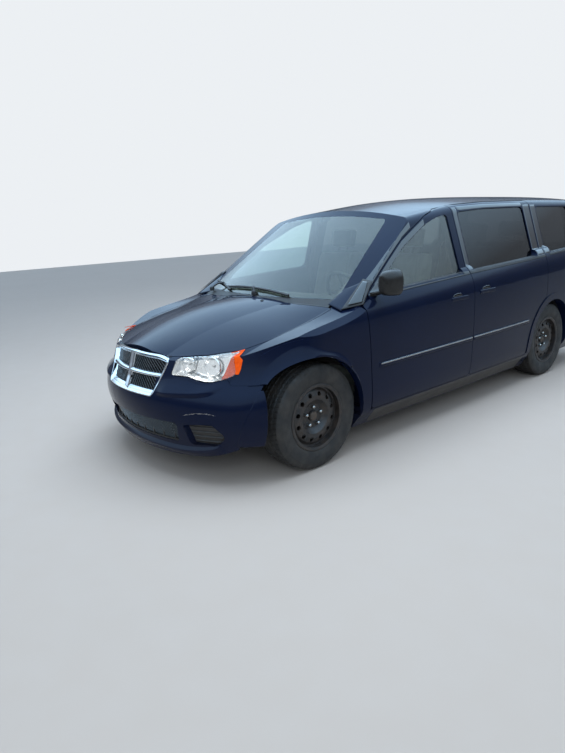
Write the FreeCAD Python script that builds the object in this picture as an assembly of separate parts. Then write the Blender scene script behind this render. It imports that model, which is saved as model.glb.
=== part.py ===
import FreeCAD, Part
import math
import os
from FreeCAD import Vector

# A full-size minivan with seven seats, two sliding side doors and a rear liftgate.
# Millimetres. +X is the vehicle's left, -Y its front, +Z up. Shapes are drawn about
# the body's centre plane. The origin lies on the ground, under the middle of the
# whole width, and only the left mirror sticks out of it. Stations are measured back
# from a plane a little ahead of the front bumper, whose foremost point is at
# NOSE_STATION.

os.makedirs("parts", exist_ok=True)

# Driving dimensions
LENGTH = 5151.0
NOSE_STATION = 95.0
WHEELBASE = 3078.0
FRONT_AXLE = 960.0
REAR_AXLE = FRONT_AXLE + WHEELBASE
FRONT_TRACK = 1666.0
REAR_TRACK = 1646.0
TYRE_RADIUS = 349.5
WHEEL_HEIGHT = 349.5
DOOR_THICKNESS = 78.0
HOUSE_THICKNESS = 46.0
SHUT_GAP = 5.0
# How far left of the centre plane the middle of the whole width lies
ORIGIN_OUT = 64.0
# Gap all round the grille's surround
SURROUND_GAP = 1.5
SPINDLE_RADIUS = 8.5
HOOD_THICKNESS = 26.0
GLASS_INSET = 9.0
GLASS_THICKNESS = 5.0
# Wheel arches and the raised bands round them: station, level, radius
FRONT_ARCH = (887.0, 295.0, 468.0)
FRONT_FLARE = (858.0, 428.0, 453.0)
REAR_ARCH = (4038.0, 349.5, 396.0)
REAR_FLARE = (4038.0, 349.5, 458.0)
FLARE_HEIGHT = 7.0
KINGPIN_LEAN = 10.0

# Where the side of the body is widest, and how gently it bows in plan
WIDEST_STATION = 2450.0
SIDE_BOW = 60000.0
# The rising belt line turns about this station
TILT_STATION = 1400.0

# Plan outlines of the lower body, one row per level.
# level, tilt, half_width, nose, nose_bow, nose_corner, tail, tail_bow, tail_corner
LOWER_ROWS = (
    (165.0, 0.0, 885.0, 165.0, 1450.0, 430.0, 5125.0, 3200.0, 250.0),
    (260.0, 0.0, 950.0, 150.0, 1420.0, 430.0, 5191.0, 3200.0, 270.0),
    (400.0, 0.0, 984.0, 101.0, 1300.0, 430.0, 5239.0, 3200.0, 280.0),
    (560.0, 0.0, 991.0, 99.0, 1230.0, 440.0, 5235.0, 3200.0, 280.0),
    (640.0, 0.0, 994.0, 132.0, 1120.0, 450.0, 5200.0, 3200.0, 262.0),
    (720.0, 0.0, 996.0, 158.0, 1040.0, 460.0, 5168.0, 3200.0, 250.0),
    (860.0, 1.0, 996.0, 200.0, 1020.0, 460.0, 5157.0, 3200.0, 230.0),
    (972.0, 2.4, 984.0, 238.0, 1020.0, 460.0, 5145.0, 3200.0, 210.0),
    (1030.0, 3.2, 955.0, 275.0, 1020.0, 450.0, 5125.0, 3200.0, 200.0),
    (1092.0, 3.2, 904.0, 312.0, 1020.0, 440.0, 5091.0, 3200.0, 200.0),
)

# Cross-sections of the hood's surface and of the fenders' tops beside it.
# station, centre, crease_out, crease, edge, brow
HOOD_ROWS = (
    (-50.0, 716.0, 300.0, 640.0, 545.0, 490.0),
    (300.0, 846.0, 306.0, 808.0, 722.0, 690.0),
    (500.0, 911.0, 316.0, 884.0, 800.0, 792.0),
    (800.0, 992.0, 344.0, 961.0, 885.0, 893.0),
    (1040.0, 1030.0, 365.0, 998.0, 936.0, 938.0),
    (1290.0, 1052.0, 410.0, 1034.0, 1008.0, 985.0),
    (1470.0, 1068.0, 430.0, 1056.0, 1054.0, 1048.0),
)
HOOD_EDGE_OUT = 760.0
BROW_OUT = 930.0

# Cross-sections of the upper body.
# station, crown, rail, rail_out, belt_out
HOUSE_ROWS = (
    (950.0, 1560.0, 1455.0, 752.0, 890.0),
    (1500.0, 1592.0, 1500.0, 752.0, 912.0),
    (2080.0, 1634.0, 1552.0, 752.0, 926.0),
    (2650.0, 1695.0, 1625.0, 748.0, 930.0),
    (3400.0, 1725.0, 1654.0, 742.0, 928.0),
    (4200.0, 1722.0, 1650.0, 734.0, 914.0),
    (5300.0, 1688.0, 1610.0, 712.0, 884.0),
)
BELT_LEVEL = 1060.0
HOUSE_FOOT = 930.0
RAIL_RADIUS = 78.0

# The windscreen is part of a cylinder whose axis follows its rake
SCREEN_RAKE = 33.5
SCREEN_BOW = 3800.0
SCREEN_FOOT = (1200.0, 1046.0)
# The tail above the belt is part of another
TAIL_RAKE = 77.0
TAIL_BOW = 3100.0
TAIL_FOOT = (5147.0, 1000.0)


def station(distance):
    return distance - NOSE_STATION - LENGTH / 2


def on_side(along, up):
    return Vector(0, station(along), up)


def on_front(out, up):
    return Vector(out, 0, up)


def on_plan(out, along):
    return Vector(out, station(along), 0)


def mirrored(point):
    return Vector(-point.x, point.y, point.z)


def opposite(shape):
    return shape.mirror(Vector(0, 0, 0), Vector(1, 0, 0))


def both_sides(shape):
    return Part.makeCompound([shape, opposite(shape)])


# A closed outline with rounded corners. A corner is (a, b) or (a, b, radius).
def outline(corners, place):
    starts = []
    for index, corner in enumerate(corners):
        here = place(corner[0], corner[1])
        before = place(*corners[index - 1][:2]) - here
        after = place(*corners[(index + 1) % len(corners)][:2]) - here
        if len(corner) == 2:
            starts.append((here, None, here))
            continue
        before.normalize()
        after.normalize()
        half = before.getAngle(after) / 2
        reach = corner[2] / math.tan(half)
        middle = before + after
        middle.normalize()
        bow = corner[2] / math.sin(half) - corner[2]
        starts.append((here + before * reach, here + middle * bow, here + after * reach))
    edges = []
    for index, (entry, middle, leave) in enumerate(starts):
        if middle is not None:
            edges.append(Part.Arc(entry, middle, leave).toShape())
        following = starts[(index + 1) % len(starts)][0]
        if leave.distanceToPoint(following) > 0.01:
            edges.append(Part.LineSegment(leave, following).toShape())
    return Part.Wire(edges)


def prism(corners, place, direction, near, far, grow):
    wire = outline(corners, place)
    if grow:
        wire = wire.makeOffset2D(grow)
    face = Part.Face(wire)
    face.translate(direction * near)
    return face.extrude(direction * (far - near))


def side_prism(corners, near, far, grow=0):
    return prism(corners, on_side, Vector(1, 0, 0), near, far, grow)


def front_prism(corners, near, far, grow=0):
    solid = prism(corners, on_front, Vector(0, 1, 0), 0, far - near, grow)
    solid.translate(Vector(0, station(near), 0))
    return solid


def plan_prism(corners, low, high, grow=0):
    return prism(corners, on_plan, Vector(0, 0, 1), low, high, grow)


# A box given by its outward, backward and upward ranges
def block(out, along, up):
    size = (out[1] - out[0], along[1] - along[0], up[1] - up[0])
    return Part.makeBox(*size, Vector(out[0], station(along[0]), up[0]))


def rounded_block(out, along, up, radius):
    solid = block(out, along, up)
    return solid.makeFillet(radius, solid.Edges)


def tube(start, end, radius):
    return Part.makeCylinder(radius, (end - start).Length, start, end - start)


# A round bar bent along a path of straight runs joined by arcs
def bent_bar(points, radius, bend):
    runs = []
    last = points[0]
    for before, here, after in zip(points, points[1:], points[2:]):
        back = before - here
        ahead = after - here
        back.normalize()
        ahead.normalize()
        half = back.getAngle(ahead) / 2
        reach = bend / math.tan(half)
        middle = back + ahead
        middle.normalize()
        entry = here + back * reach
        leave = here + ahead * reach
        top = here + middle * (bend / math.sin(half) - bend)
        runs.append(Part.LineSegment(last, entry).toShape())
        runs.append(Part.Arc(entry, top, leave).toShape())
        last = leave
    runs.append(Part.LineSegment(last, points[-1]).toShape())
    path = Part.Wire(runs)
    ring = Part.Wire(Part.makeCircle(radius, points[0], points[1] - points[0]))
    return path.makePipeShell([ring], True, True)


# A body of revolution about the X axis. A point is (radius, out).
def turned(profile, out, along, up):
    points = [Vector(reach, radius, 0) for radius, reach in profile]
    points.append(points[0])
    face = Part.Face(Part.makePolygon(points))
    solid = face.revolve(Vector(0, 0, 0), Vector(1, 0, 0), 360)
    solid.translate(Vector(out, station(along), up))
    return solid


def one_solid(shape):
    largest = max(shape.Solids, key=lambda solid: solid.Volume)
    return largest


# The corner circle that touches two larger circles from inside
def corner_centre(first, first_radius, second, second_radius, radius, rearward):
    reach_first = first_radius - radius
    reach_second = second_radius - radius
    across = second - first
    span = across.Length
    across.normalize()
    along = (reach_first ** 2 - reach_second ** 2 + span ** 2) / (2 * span)
    rise = math.sqrt(reach_first ** 2 - along ** 2)
    normal = Vector(-across.y, across.x, 0)
    choices = [first + across * along + normal * (rise * sign) for sign in (1, -1)]
    choices.sort(key=lambda point: point.y)
    return choices[1] if rearward else choices[0]


def touch(big_centre, small_centre, big_radius):
    direction = small_centre - big_centre
    direction.normalize()
    return big_centre + direction * big_radius


# Eight arcs that run into each other: nose, two sides, tail and four corners
def plan_loop(row, inset):
    half_width, nose, nose_bow, nose_corner, tail, tail_bow, tail_corner = row
    half_width -= inset
    front = station(nose) + inset
    rear = station(tail) - inset
    nose_bow -= inset
    nose_corner -= inset
    tail_bow -= inset
    tail_corner -= inset
    side_bow = SIDE_BOW - inset
    nose_centre = Vector(0, front + nose_bow, 0)
    tail_centre = Vector(0, rear - tail_bow, 0)
    side_centre = Vector(half_width - side_bow, station(WIDEST_STATION), 0)
    fore = corner_centre(nose_centre, nose_bow, side_centre, side_bow, nose_corner, False)
    aft = corner_centre(tail_centre, tail_bow, side_centre, side_bow, tail_corner, True)
    nose_end = touch(nose_centre, fore, nose_bow)
    side_start = touch(side_centre, fore, side_bow)
    side_end = touch(side_centre, aft, side_bow)
    tail_start = touch(tail_centre, aft, tail_bow)
    fore_middle = touch(fore, (nose_end + side_start) * 0.5, nose_corner)
    aft_middle = touch(aft, (side_end + tail_start) * 0.5, tail_corner)
    side_middle = Vector(half_width, station(WIDEST_STATION), 0)
    left = [
        (nose_end, fore_middle, side_start),
        (side_start, side_middle, side_end),
        (side_end, aft_middle, tail_start),
    ]
    right = [tuple(mirrored(point) for point in reversed(arc)) for arc in reversed(left)]
    tail_arc = (tail_start, Vector(0, rear, 0), mirrored(tail_start))
    nose_arc = (mirrored(nose_end), Vector(0, front, 0), nose_end)
    arcs = left + [tail_arc] + right + [nose_arc]
    return Part.Wire([Part.Arc(*arc).toShape() for arc in arcs])


def lower_form(inset):
    loops = []
    for level, tilt, *row in LOWER_ROWS:
        loop = plan_loop(row, inset)
        loop.rotate(Vector(0, station(TILT_STATION), 0), Vector(1, 0, 0), tilt)
        loop.translate(Vector(0, 0, level))
        loops.append(loop)
    return Part.makeLoft(loops, True, False)


# What lies above the hood's surface, lowered by a depth
def above_hood(depth):
    top = 1400.0
    sections = []
    for along, centre, crease_out, crease, edge, brow in HOOD_ROWS:
        middle = Vector(0, 0, centre - depth)
        ridge = Vector(crease_out, 0, crease - depth)
        rim = Vector(HOOD_EDGE_OUT, 0, edge - depth)
        verge = Vector(BROW_OUT, 0, brow - depth)
        far = Vector(BROW_OUT + 170, 0, brow - depth - 120)
        shoulder = (ridge + rim) * 0.5 + Vector(0, 0, 8)
        corner = Vector(far.x, 0, top)
        edges = [
            Part.Arc(mirrored(ridge), middle, ridge).toShape(),
            Part.Arc(ridge, shoulder, rim).toShape(),
            Part.LineSegment(rim, verge).toShape(),
            Part.LineSegment(verge, far).toShape(),
            Part.LineSegment(far, corner).toShape(),
            Part.LineSegment(corner, mirrored(corner)).toShape(),
            Part.LineSegment(mirrored(corner), mirrored(far)).toShape(),
            Part.LineSegment(mirrored(far), mirrored(verge)).toShape(),
            Part.LineSegment(mirrored(verge), mirrored(rim)).toShape(),
            Part.Arc(mirrored(rim), mirrored(shoulder), mirrored(ridge)).toShape(),
        ]
        section = Part.Wire(edges)
        section.translate(Vector(0, station(along), 0))
        sections.append(section)
    return Part.makeLoft(sections, True, False)


# Two leaning sides, two rail corners and a crowned roof
def house_section(row, inset):
    along, crown, rail, rail_out, belt_out = row
    lean = Vector(rail_out - belt_out, 0, rail - BELT_LEVEL)
    lean.normalize()
    outward = Vector(lean.z, 0, -lean.x)
    start = Vector(belt_out, 0, BELT_LEVEL) - outward * inset
    rise = crown - rail
    bow = (rail_out ** 2 + rise ** 2) / (2 * rise)
    centre = Vector(0, 0, crown - bow)
    roof_radius = bow - inset
    rail_radius = max(RAIL_RADIUS - inset, 20.0)
    base = start - outward * rail_radius
    gap = base - centre
    product = gap.dot(lean)
    spare = gap.dot(gap) - (roof_radius - rail_radius) ** 2
    corner = base + lean * (math.sqrt(product ** 2 - spare) - product)
    side_end = corner + outward * rail_radius
    roof_start = touch(centre, corner, roof_radius)
    bend = touch(corner, (side_end + roof_start) * 0.5, rail_radius)
    foot = start + lean * ((HOUSE_FOOT - start.z) / lean.z)
    top = Vector(0, 0, crown - inset)
    edges = [
        Part.LineSegment(foot, side_end).toShape(),
        Part.Arc(side_end, bend, roof_start).toShape(),
        Part.Arc(roof_start, top, mirrored(roof_start)).toShape(),
        Part.Arc(mirrored(roof_start), mirrored(bend), mirrored(side_end)).toShape(),
        Part.LineSegment(mirrored(side_end), mirrored(foot)).toShape(),
        Part.LineSegment(mirrored(foot), foot).toShape(),
    ]
    section = Part.Wire(edges)
    section.translate(Vector(0, station(along), 0))
    return section


# A leaning cylinder that passes through a foot point on the centre plane
def leaning_cylinder(foot, rake, bow, forward, inset):
    lean = math.radians(rake)
    along = Vector(0, math.cos(lean), math.sin(lean))
    outward = Vector(0, -math.sin(lean), math.cos(lean))
    if not forward:
        along = Vector(0, -math.cos(lean), math.sin(lean))
        outward = Vector(0, math.sin(lean), math.cos(lean))
    axis = on_side(*foot) - outward * bow - along * 2500
    return Part.makeCylinder(bow - inset, 6000, axis, along)


def house_form(inset, end_inset):
    solid = Part.makeLoft([house_section(row, inset) for row in HOUSE_ROWS], True, False)
    solid = solid.common(leaning_cylinder(SCREEN_FOOT, SCREEN_RAKE, SCREEN_BOW, True, end_inset))
    return solid.common(leaning_cylinder(TAIL_FOOT, TAIL_RAKE, TAIL_BOW, False, end_inset))


OUTER_LOWER = lower_form(0)
INNER_LOWER = lower_form(DOOR_THICKNESS)
OUTER_HOUSE = house_form(0, 0)
INNER_HOUSE = house_form(HOUSE_THICKNESS, HOUSE_THICKNESS)
OVER_HOOD = above_hood(0)
UNDER_HOOD = above_hood(HOOD_THICKNESS)

# The whole skin and the spaces inside it
CABIN_START = 1330.0
NOSE_SPACE_END = 1285.0
FLOOR_LEVEL = 300.0
FLOOR_END = 5040.0
UNDERSIDE_OUT = 770.0
FLOOR_OUT = 790.0
SKIN = OUTER_LOWER.cut(OVER_HOOD).fuse(OUTER_HOUSE)
LOWER_SPACE = INNER_LOWER.common(block((-1200, 1200), (CABIN_START, 5400), (FLOOR_LEVEL, 1500)))
CABIN = LOWER_SPACE.fuse(INNER_HOUSE)
NOSE_SPACE = INNER_LOWER.common(block((-1200, 1200), (0, NOSE_SPACE_END), (0, 1500)))
NOSE_SPACE = NOSE_SPACE.cut(UNDER_HOOD)
UNDERSIDE = block((-UNDERSIDE_OUT, UNDERSIDE_OUT), (NOSE_SPACE_END, 5100), (0, FLOOR_LEVEL - 36))
SHELL = SKIN.cut(CABIN).cut(NOSE_SPACE).cut(UNDERSIDE)

# Where panels meet, seen from the side
DOOR_CUT = 2634.0
SLIDER_FRONT = DOOR_CUT + SHUT_GAP
SLIDER_REAR = 3872.0
DOOR_FOOT = 292.0
DOOR_TOP = 1636.0
FRONT_DOOR = (
    (1452, DOOR_FOOT, 30), (1416, 740, 600), (1392, 1022, 60), (1640, 1196, 300),
    (1940, 1396, 400), (2280, 1560, 400), (2480, 1614, 300), (DOOR_CUT, DOOR_TOP, 12),
    (DOOR_CUT, DOOR_FOOT, 30),
)
SLIDING_DOOR = (
    (SLIDER_FRONT, DOOR_FOOT, 30), (SLIDER_FRONT, DOOR_TOP, 12), (3100, 1654, 900),
    (SLIDER_REAR, 1656, 40), (SLIDER_REAR, DOOR_FOOT, 30),
)
SLIDER_ARCH = 470.0
FRONT_WINDOW = (
    (1608, 1078, 14), (1660, 1160, 60), (1950, 1352, 400), (2270, 1504, 400), (2440, 1554, 200),
    (2560, 1572, 30), (2560, 1124, 20),
)
SLIDER_WINDOW = (
    (2706, 1132, 26), (2706, 1584, 26), (3100, 1602, 900), (3742, 1602, 40), (3742, 1168, 40),
)
QUARTER_WINDOW = (
    (3985, 1182, 40), (3985, 1600, 40), (4640, 1590, 60), (4740, 1214, 50),
)
FENDER_FRONT = 428.0
FENDER_FOOT = 644.0
FENDER = (
    (FENDER_FRONT, FENDER_FOOT), (FENDER_FRONT, 1200), (1252, 1200), (1252, 1030, 10), (1386, 1016, 50),
    (1410, 740, 600), (1446, 262, 20), (1180, 262), (1180, FENDER_FOOT),
)
# The shut line between fender and door, with no strip of the body side in it
FENDER_SEAM = ((1380, 1014), (1394, 1014), (1420, 740), (1460, 284), (1440, 284), (1404, 740))
LAMP_SIDE = ((50, 560), (560, 560), (640, 920), (50, 920))
TAIL_LAMP_SIDE = ((5400, 800), (5030, 800, 30), (4990, 1195, 30), (5400, 1195))
REAR_BUMPER_SIDE = ((4300, 120), (4300, 612, 5), (5400, 612), (5400, 120))

# Where panels meet, seen from the front or rear
SCREEN = (
    (-752, 1048, 30), (752, 1048, 30), (588, 1556, 50), (0, 1612, 4000), (-588, 1556, 50),
)
LAMP = (
    (398, 686, 22), (438, 880), (710, 880), (758, 702, 40), (640, 646, 160), (520, 684, 120),
)
GRILLE_TOP = 802.0
GRILLE = (
    (-300, 550, 34), (300, 550, 34), (374, 776, 22), (290, GRILLE_TOP, 300), (0, GRILLE_TOP + 22, 2000),
    (-290, GRILLE_TOP, 300), (-374, 776, 22),
)
GATE = (
    (-664, 622, 40), (-664, 1215, 60), (-690, 1240, 60), (-618, 1760, 60), (618, 1760, 60),
    (690, 1240, 60), (664, 1215, 60), (664, 622, 40),
)
GATE_WINDOW = (
    (-610, 1216, 50), (-556, 1604, 60), (556, 1604, 60), (610, 1216, 50),
)
LOWER_GRILLE = (
    (-440, 268, 24), (-486, 408, 24), (486, 408, 24), (440, 268, 24),
)
FOG_POCKET = (
    (528, 262, 26), (518, 400, 26), (700, 418, 30), (764, 330, 36), (700, 272, 40),
)
BUMPER_FOOT = ((150, 100), (150, 172), (250, 186), (340, 218), (440, 262), (560, 330), (560, 100))
TAIL_LAMP_INNER = 672.0
PLATE_STATION = 5140.0
PLATE_LEVEL = 810.0
PLATE_SPACING = 177.8
PLATE_HOLE_RADIUS = 3.5
PLATE_HOLE_DEPTH = 24.0
RAIL_OUT = 690.0
SILL_OUT = 880.0
POST_DEPTH = 86.0
DOOR_STEP = 51.0
GATE_NEAR = 4885.0

# Where panels meet, seen from above
HOOD = (
    (-340, 274), (-440, 322), (-570, 408), (-712, 560, 40), (-762, 740, 300), (-778, 1262, 20),
    (-742, 1262), (-500, 1196, 300), (0, 1172, 3000), (500, 1196, 300), (742, 1262),
    (778, 1262, 20), (762, 740, 300), (712, 560, 40), (570, 408), (440, 322), (340, 274),
    (180, 236), (-180, 236),
)
ROOF = (
    (-590, 1985), (590, 1985), (640, 2220), (640, GATE_NEAR - SHUT_GAP),
    (-640, GATE_NEAR - SHUT_GAP), (-640, 2220),
)


def wheel_space(axle, near, far, radius):
    return arch_space((axle, WHEEL_HEIGHT, radius), near, far)


def arch_space(arch, near, far):
    centre = on_side(arch[0], arch[1])
    return tube(centre + Vector(near, 0, 0), centre + Vector(far, 0, 0), arch[2])


# Steered front wheels need more room inboard of the arch's lip
WHEEL_ROOM = both_sides(arch_space(FRONT_ARCH, 470, 1100))
WHEEL_ROOM = WHEEL_ROOM.fuse(both_sides(arch_space(REAR_ARCH, 560, 1100)))
STEER_ROOM = both_sides(wheel_space(FRONT_AXLE, 460, 940, 446))
BEHIND_NOSE = block((0, 1200), (1257, 5400), (0, 2000))

HOOD_LAYER = SKIN.common(UNDER_HOOD)
FLARE_LAYER = lower_form(-FLARE_HEIGHT).cut(lower_form(8))
HOOD_ROOM = plan_prism(HOOD, 600, 1300, SHUT_GAP).common(above_hood(HOOD_THICKNESS + 4))
LAMP_CUT = front_prism(LAMP, 0, 700)
LAMP_PAIR = both_sides(LAMP_CUT.common(side_prism(LAMP_SIDE, 0, 1100)))
GRILLE_CUT = front_prism(GRILLE, 0, 600)
SCREEN_CUT = front_prism(SCREEN, 1100, 2300)


def flare(band, arch, low):
    ring = arch_space(band, 830, 1100).cut(arch_space(arch, 800, 1150))
    ring = ring.common(block((830, 1100), (0, 5400), (low, 1000)))
    return FLARE_LAYER.common(ring)


def fender():
    solid = SHELL.common(side_prism(FENDER, 400, 1100))
    solid = solid.cut(HOOD_ROOM).cut(LAMP_PAIR).cut(WHEEL_ROOM)
    solid = solid.cut(COWL_ROOM).cut(FIREWALL_ROOM).cut(FLOOR_ROOM)
    solid = one_solid(solid.cut(STEER_ROOM))
    return solid.fuse(flare(FRONT_FLARE, FRONT_ARCH, FENDER_FOOT)).removeSplitter()


# The body's outer wall on one side, with the pillars, sill and wheel arch
def body_side():
    solid = SHELL.common(BEHIND_NOSE)
    solid = solid.cut(side_prism(FENDER, 400, 1100, 1.0)).cut(plan_prism(ROOF, 1350, 2000))
    solid = solid.cut(door_region(FRONT_DOOR, SHUT_GAP)).cut(slider_region(SHUT_GAP))
    solid = solid.cut(side_prism(QUARTER_WINDOW, 500, 1100)).cut(side_prism(FENDER_SEAM, 860, 1100))
    solid = solid.cut(SCREEN_CUT).cut(gate_region(SHUT_GAP))
    solid = solid.cut(tail_lamp_region(0)).cut(side_prism(REAR_BUMPER_SIDE, 0, 1100, 1.0))
    solid = solid.cut(HOOD_ROOM).cut(WHEEL_ROOM).cut(COWL_ROOM)
    solid = solid.cut(block((0, 640), (GATE_NEAR - SHUT_GAP, 5400), (1400, 2000)))
    solid = solid.cut(FIREWALL_ROOM).cut(FLOOR_ROOM).cut(block((0, 400), (1200, 5400), (0, 2000)))
    rear_flare = flare(REAR_FLARE, REAR_ARCH, 300).cut(slider_region(SHUT_GAP))
    rear_flare = rear_flare.cut(block((0, 1200), (4299, 5400), (0, 613)))
    solid = solid.fuse([rear_flare, hinge_post(), door_post()])
    return one_solid(solid.removeSplitter())


# The post behind the front door's hinges
def hinge_post():
    post = block((800, 858), (1450, 1500), (FLOOR_LEVEL - 30, 1020))
    bridge = block((800, 858), (1336, 1500), (950, 1020))
    head = block((800, 858), (1336, 1396), (950, 1112)).common(SKIN)
    return post.fuse([bridge, head])


# The post between the doors, set just inside them
def door_post():
    foot = block((806, 856), (DOOR_CUT - 62, DOOR_CUT + 70), (FLOOR_LEVEL - 30, 1120))
    column = block((500, 1000), (DOOR_CUT - 50, DOOR_CUT + 56), (1060, 1760))
    head = block((500, 1000), (DOOR_CUT - 50, DOOR_CUT + 56), (DOOR_TOP + SHUT_GAP + 4, 1760))
    inner = house_form(POST_DEPTH, POST_DEPTH)
    rail = OUTER_HOUSE.cut(inner).common(head).common(block((600, 690), (0, 5400), (1500, 1760)))
    hollow = house_form(DOOR_STEP, DOOR_STEP)
    return foot.fuse([hollow.cut(inner).common(column), rail]).cut(plan_prism(ROOF, 1350, 2000, 1.0))


# A door's share of the body, kept clear of the roof rail above it and the floor
def door_region(corners, grow):
    region = side_prism(corners, 500, 1100, grow)
    region = region.cut(block((400, RAIL_OUT - grow), (1300, 4100), (1450, 1800)))
    return region.cut(block((400, SILL_OUT - grow), (1300, 4100), (0, FLOOR_LEVEL + 20)))


def gate_region(grow):
    return front_prism(GATE, GATE_NEAR - grow, 5400, grow)


def slider_region(grow):
    reach = SLIDER_ARCH - grow
    return door_region(SLIDING_DOOR, grow).cut(wheel_space(REAR_AXLE, 400, 1200, reach))


def tail_lamp_region(grow):
    return side_prism(TAIL_LAMP_SIDE, TAIL_LAMP_INNER - grow, 1100, grow)


def handle(along, up, skin_out):
    grip = rounded_block((skin_out + 14, skin_out + 32), (along, along + 225), (up - 15, up + 15), 7)
    feet = block((skin_out - 20, skin_out + 18), (along + 12, along + 40), (up - 9, up + 9))
    feet = feet.fuse(block((skin_out - 20, skin_out + 18), (along + 185, along + 213), (up - 9, up + 9)))
    return grip.fuse(feet)


FRAME_STEP = 12.0


def front_door():
    solid = SHELL.common(door_region(FRONT_DOOR, 0)).cut(side_prism(FRONT_WINDOW, 500, 1100))
    rebate = block((500, 1100), (DOOR_CUT - 16, DOOR_CUT + 10), (1080, 1700))
    solid = solid.cut(INNER_STEP.common(rebate))
    solid = one_solid(solid)
    return solid.fuse(handle(2322, 944, 966))


def sliding_door():
    solid = SHELL.common(slider_region(0)).cut(side_prism(SLIDER_WINDOW, 500, 1100))
    return one_solid(solid).fuse(handle(2712, 962, 968))


def pane(window):
    return one_solid(PANE_LAYER.common(side_prism(window, 500, 1100)))


PANE_LAYER = house_form(GLASS_INSET, GLASS_INSET)
PANE_LAYER = PANE_LAYER.cut(house_form(GLASS_INSET + GLASS_THICKNESS, GLASS_INSET + GLASS_THICKNESS))
INNER_STEP = house_form(FRAME_STEP, FRAME_STEP)
SCREEN_LAYER = OUTER_HOUSE.cut(house_form(6, 6))
COWL_ROOM = block((-760, 760), (1150, 1352), (900, 1066))
FIREWALL_ROOM = block((-FLOOR_OUT, FLOOR_OUT), (NOSE_SPACE_END - 5, CABIN_START + 5), (0, 900))
FLOOR_ROOM = block((-FLOOR_OUT, FLOOR_OUT), (0, FLOOR_END + 1), (0, FLOOR_LEVEL + 1))


def hood():
    solid = HOOD_LAYER.common(plan_prism(HOOD, 700, 1300))
    solid = one_solid(solid)
    outer = ((-600, 520, 60), (-600, 1100, 60), (600, 1100, 60), (600, 520, 60))
    inner = ((-540, 580, 60), (-540, 1040, 60), (540, 1040, 60), (540, 580, 60))
    ring = plan_prism(outer, 780, 1200).cut(plan_prism(inner, 780, 1200))
    under = above_hood(HOOD_THICKNESS + 16).common(ring).common(SKIN).cut(above_hood(HOOD_THICKNESS - 4))
    return solid.fuse(under)


def front_bumper():
    solid = SHELL.common(block((-1100, 1100), (0, 620), (120, 900)))
    solid = solid.cut(both_sides(side_prism(FENDER, 400, 1100, 1.0))).cut(LAMP_PAIR)
    solid = solid.cut(GRILLE_CUT).cut(HOOD_ROOM).cut(WHEEL_ROOM).cut(STEER_ROOM)
    solid = solid.cut(front_prism(LOWER_GRILLE, 0, 500))
    pocket_floor = lower_form(32)
    pockets = both_sides(front_prism(FOG_POCKET, 0, 600)).cut(pocket_floor)
    foot = side_prism(BUMPER_FOOT, -1100, 1100)
    return one_solid(solid.cut(pockets).cut(foot))


# Where the nose lies at a level, on the centre plane, and how it bows
def nose_at(level):
    points = []
    for row_level, tilt, half_width, nose, bow, *rest in LOWER_ROWS:
        drop = (TILT_STATION - nose) * math.sin(math.radians(tilt))
        points.append((row_level - drop, nose, bow))
    for (low, nose, bow), (high, next_nose, next_bow) in zip(points, points[1:]):
        if low <= level <= high:
            share = (level - low) / (high - low)
            return station(nose + (next_nose - nose) * share), bow + (next_bow - bow) * share
    return station(points[-1][1]), points[-1][2]


# A level bar that follows the nose's bow, set back behind it
def nose_bar(level, height, half_width, set_back, depth):
    front, bow = nose_at(level)
    centre = front + bow
    lines = []
    for radius in (bow - set_back, bow - set_back - depth):
        side = centre - math.sqrt(radius ** 2 - half_width ** 2)
        left, right = Vector(half_width, side, level), Vector(-half_width, side, level)
        lines.append((right, Vector(0, centre - radius, level), left))
    outer, inner = lines
    edges = [
        Part.Arc(*outer).toShape(),
        Part.LineSegment(outer[2], inner[2]).toShape(),
        Part.Arc(*inner).toShape(),
        Part.LineSegment(inner[0], outer[0]).toShape(),
    ]
    return Part.Face(Part.Wire(edges)).extrude(Vector(0, 0, height))


# Chrome surround and cross bars, with the slats behind them
def grille():
    face = OUTER_LOWER.common(front_prism(GRILLE, 0, 600, -SURROUND_GAP))
    face = face.cut(lower_form(36)).cut(above_hood(4)).cut(HOOD_ROOM)
    hole = front_prism(GRILLE, 0, 600, -26)
    lifted = hole.copy()
    lifted.translate(Vector(0, 0, 12))
    hole = hole.common(lifted)
    upright = block((-15, 15), (-50, 600), (530, 900))
    level = block((-420, 420), (-50, 600), (662, 690))
    hole = hole.cut(upright).cut(level)
    solid = face.cut(hole)
    slats = []
    for up in range(584, 800, 22):
        half_width = min(300 + (up - 550) * 0.327, 374 - (up - 771) * 3.3) - 12
        slats.append(nose_bar(up, 5, half_width, 20, 12))
    return one_solid(solid.fuse(slats))


def lower_grille():
    region = front_prism(LOWER_GRILLE, 0, 500)
    hole = front_prism(LOWER_GRILLE, -20, 520, -10)
    slab = nose_bar(300, 160, 530, 20, 76)
    slab.translate(Vector(0, 0, -42))
    frame = region.cut(hole).common(slab)
    slats = []
    for up in range(286, 404, 22):
        half_width = 440 + (up - 268) * 0.33 - 14
        slats.append(nose_bar(up, 6, half_width, 50, 14))
    front, bow = nose_at(300)
    posts = []
    for out in range(-400, 401, 100):
        along = front - station(0) + bow - math.sqrt(bow ** 2 - out ** 2)
        posts.append(block((out - 4, out + 4), (along + 24, along + 76), (270, 406)))
    return one_solid(frame.fuse(slats + posts))


def headlamp():
    lamp = SHELL.common(LAMP_CUT.common(side_prism(LAMP_SIDE, 0, 1100))).cut(HOOD_ROOM)
    return one_solid(lamp.cut(GRILLE_CUT))


def tail_lamp():
    return one_solid(SHELL.common(tail_lamp_region(0)))


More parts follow.
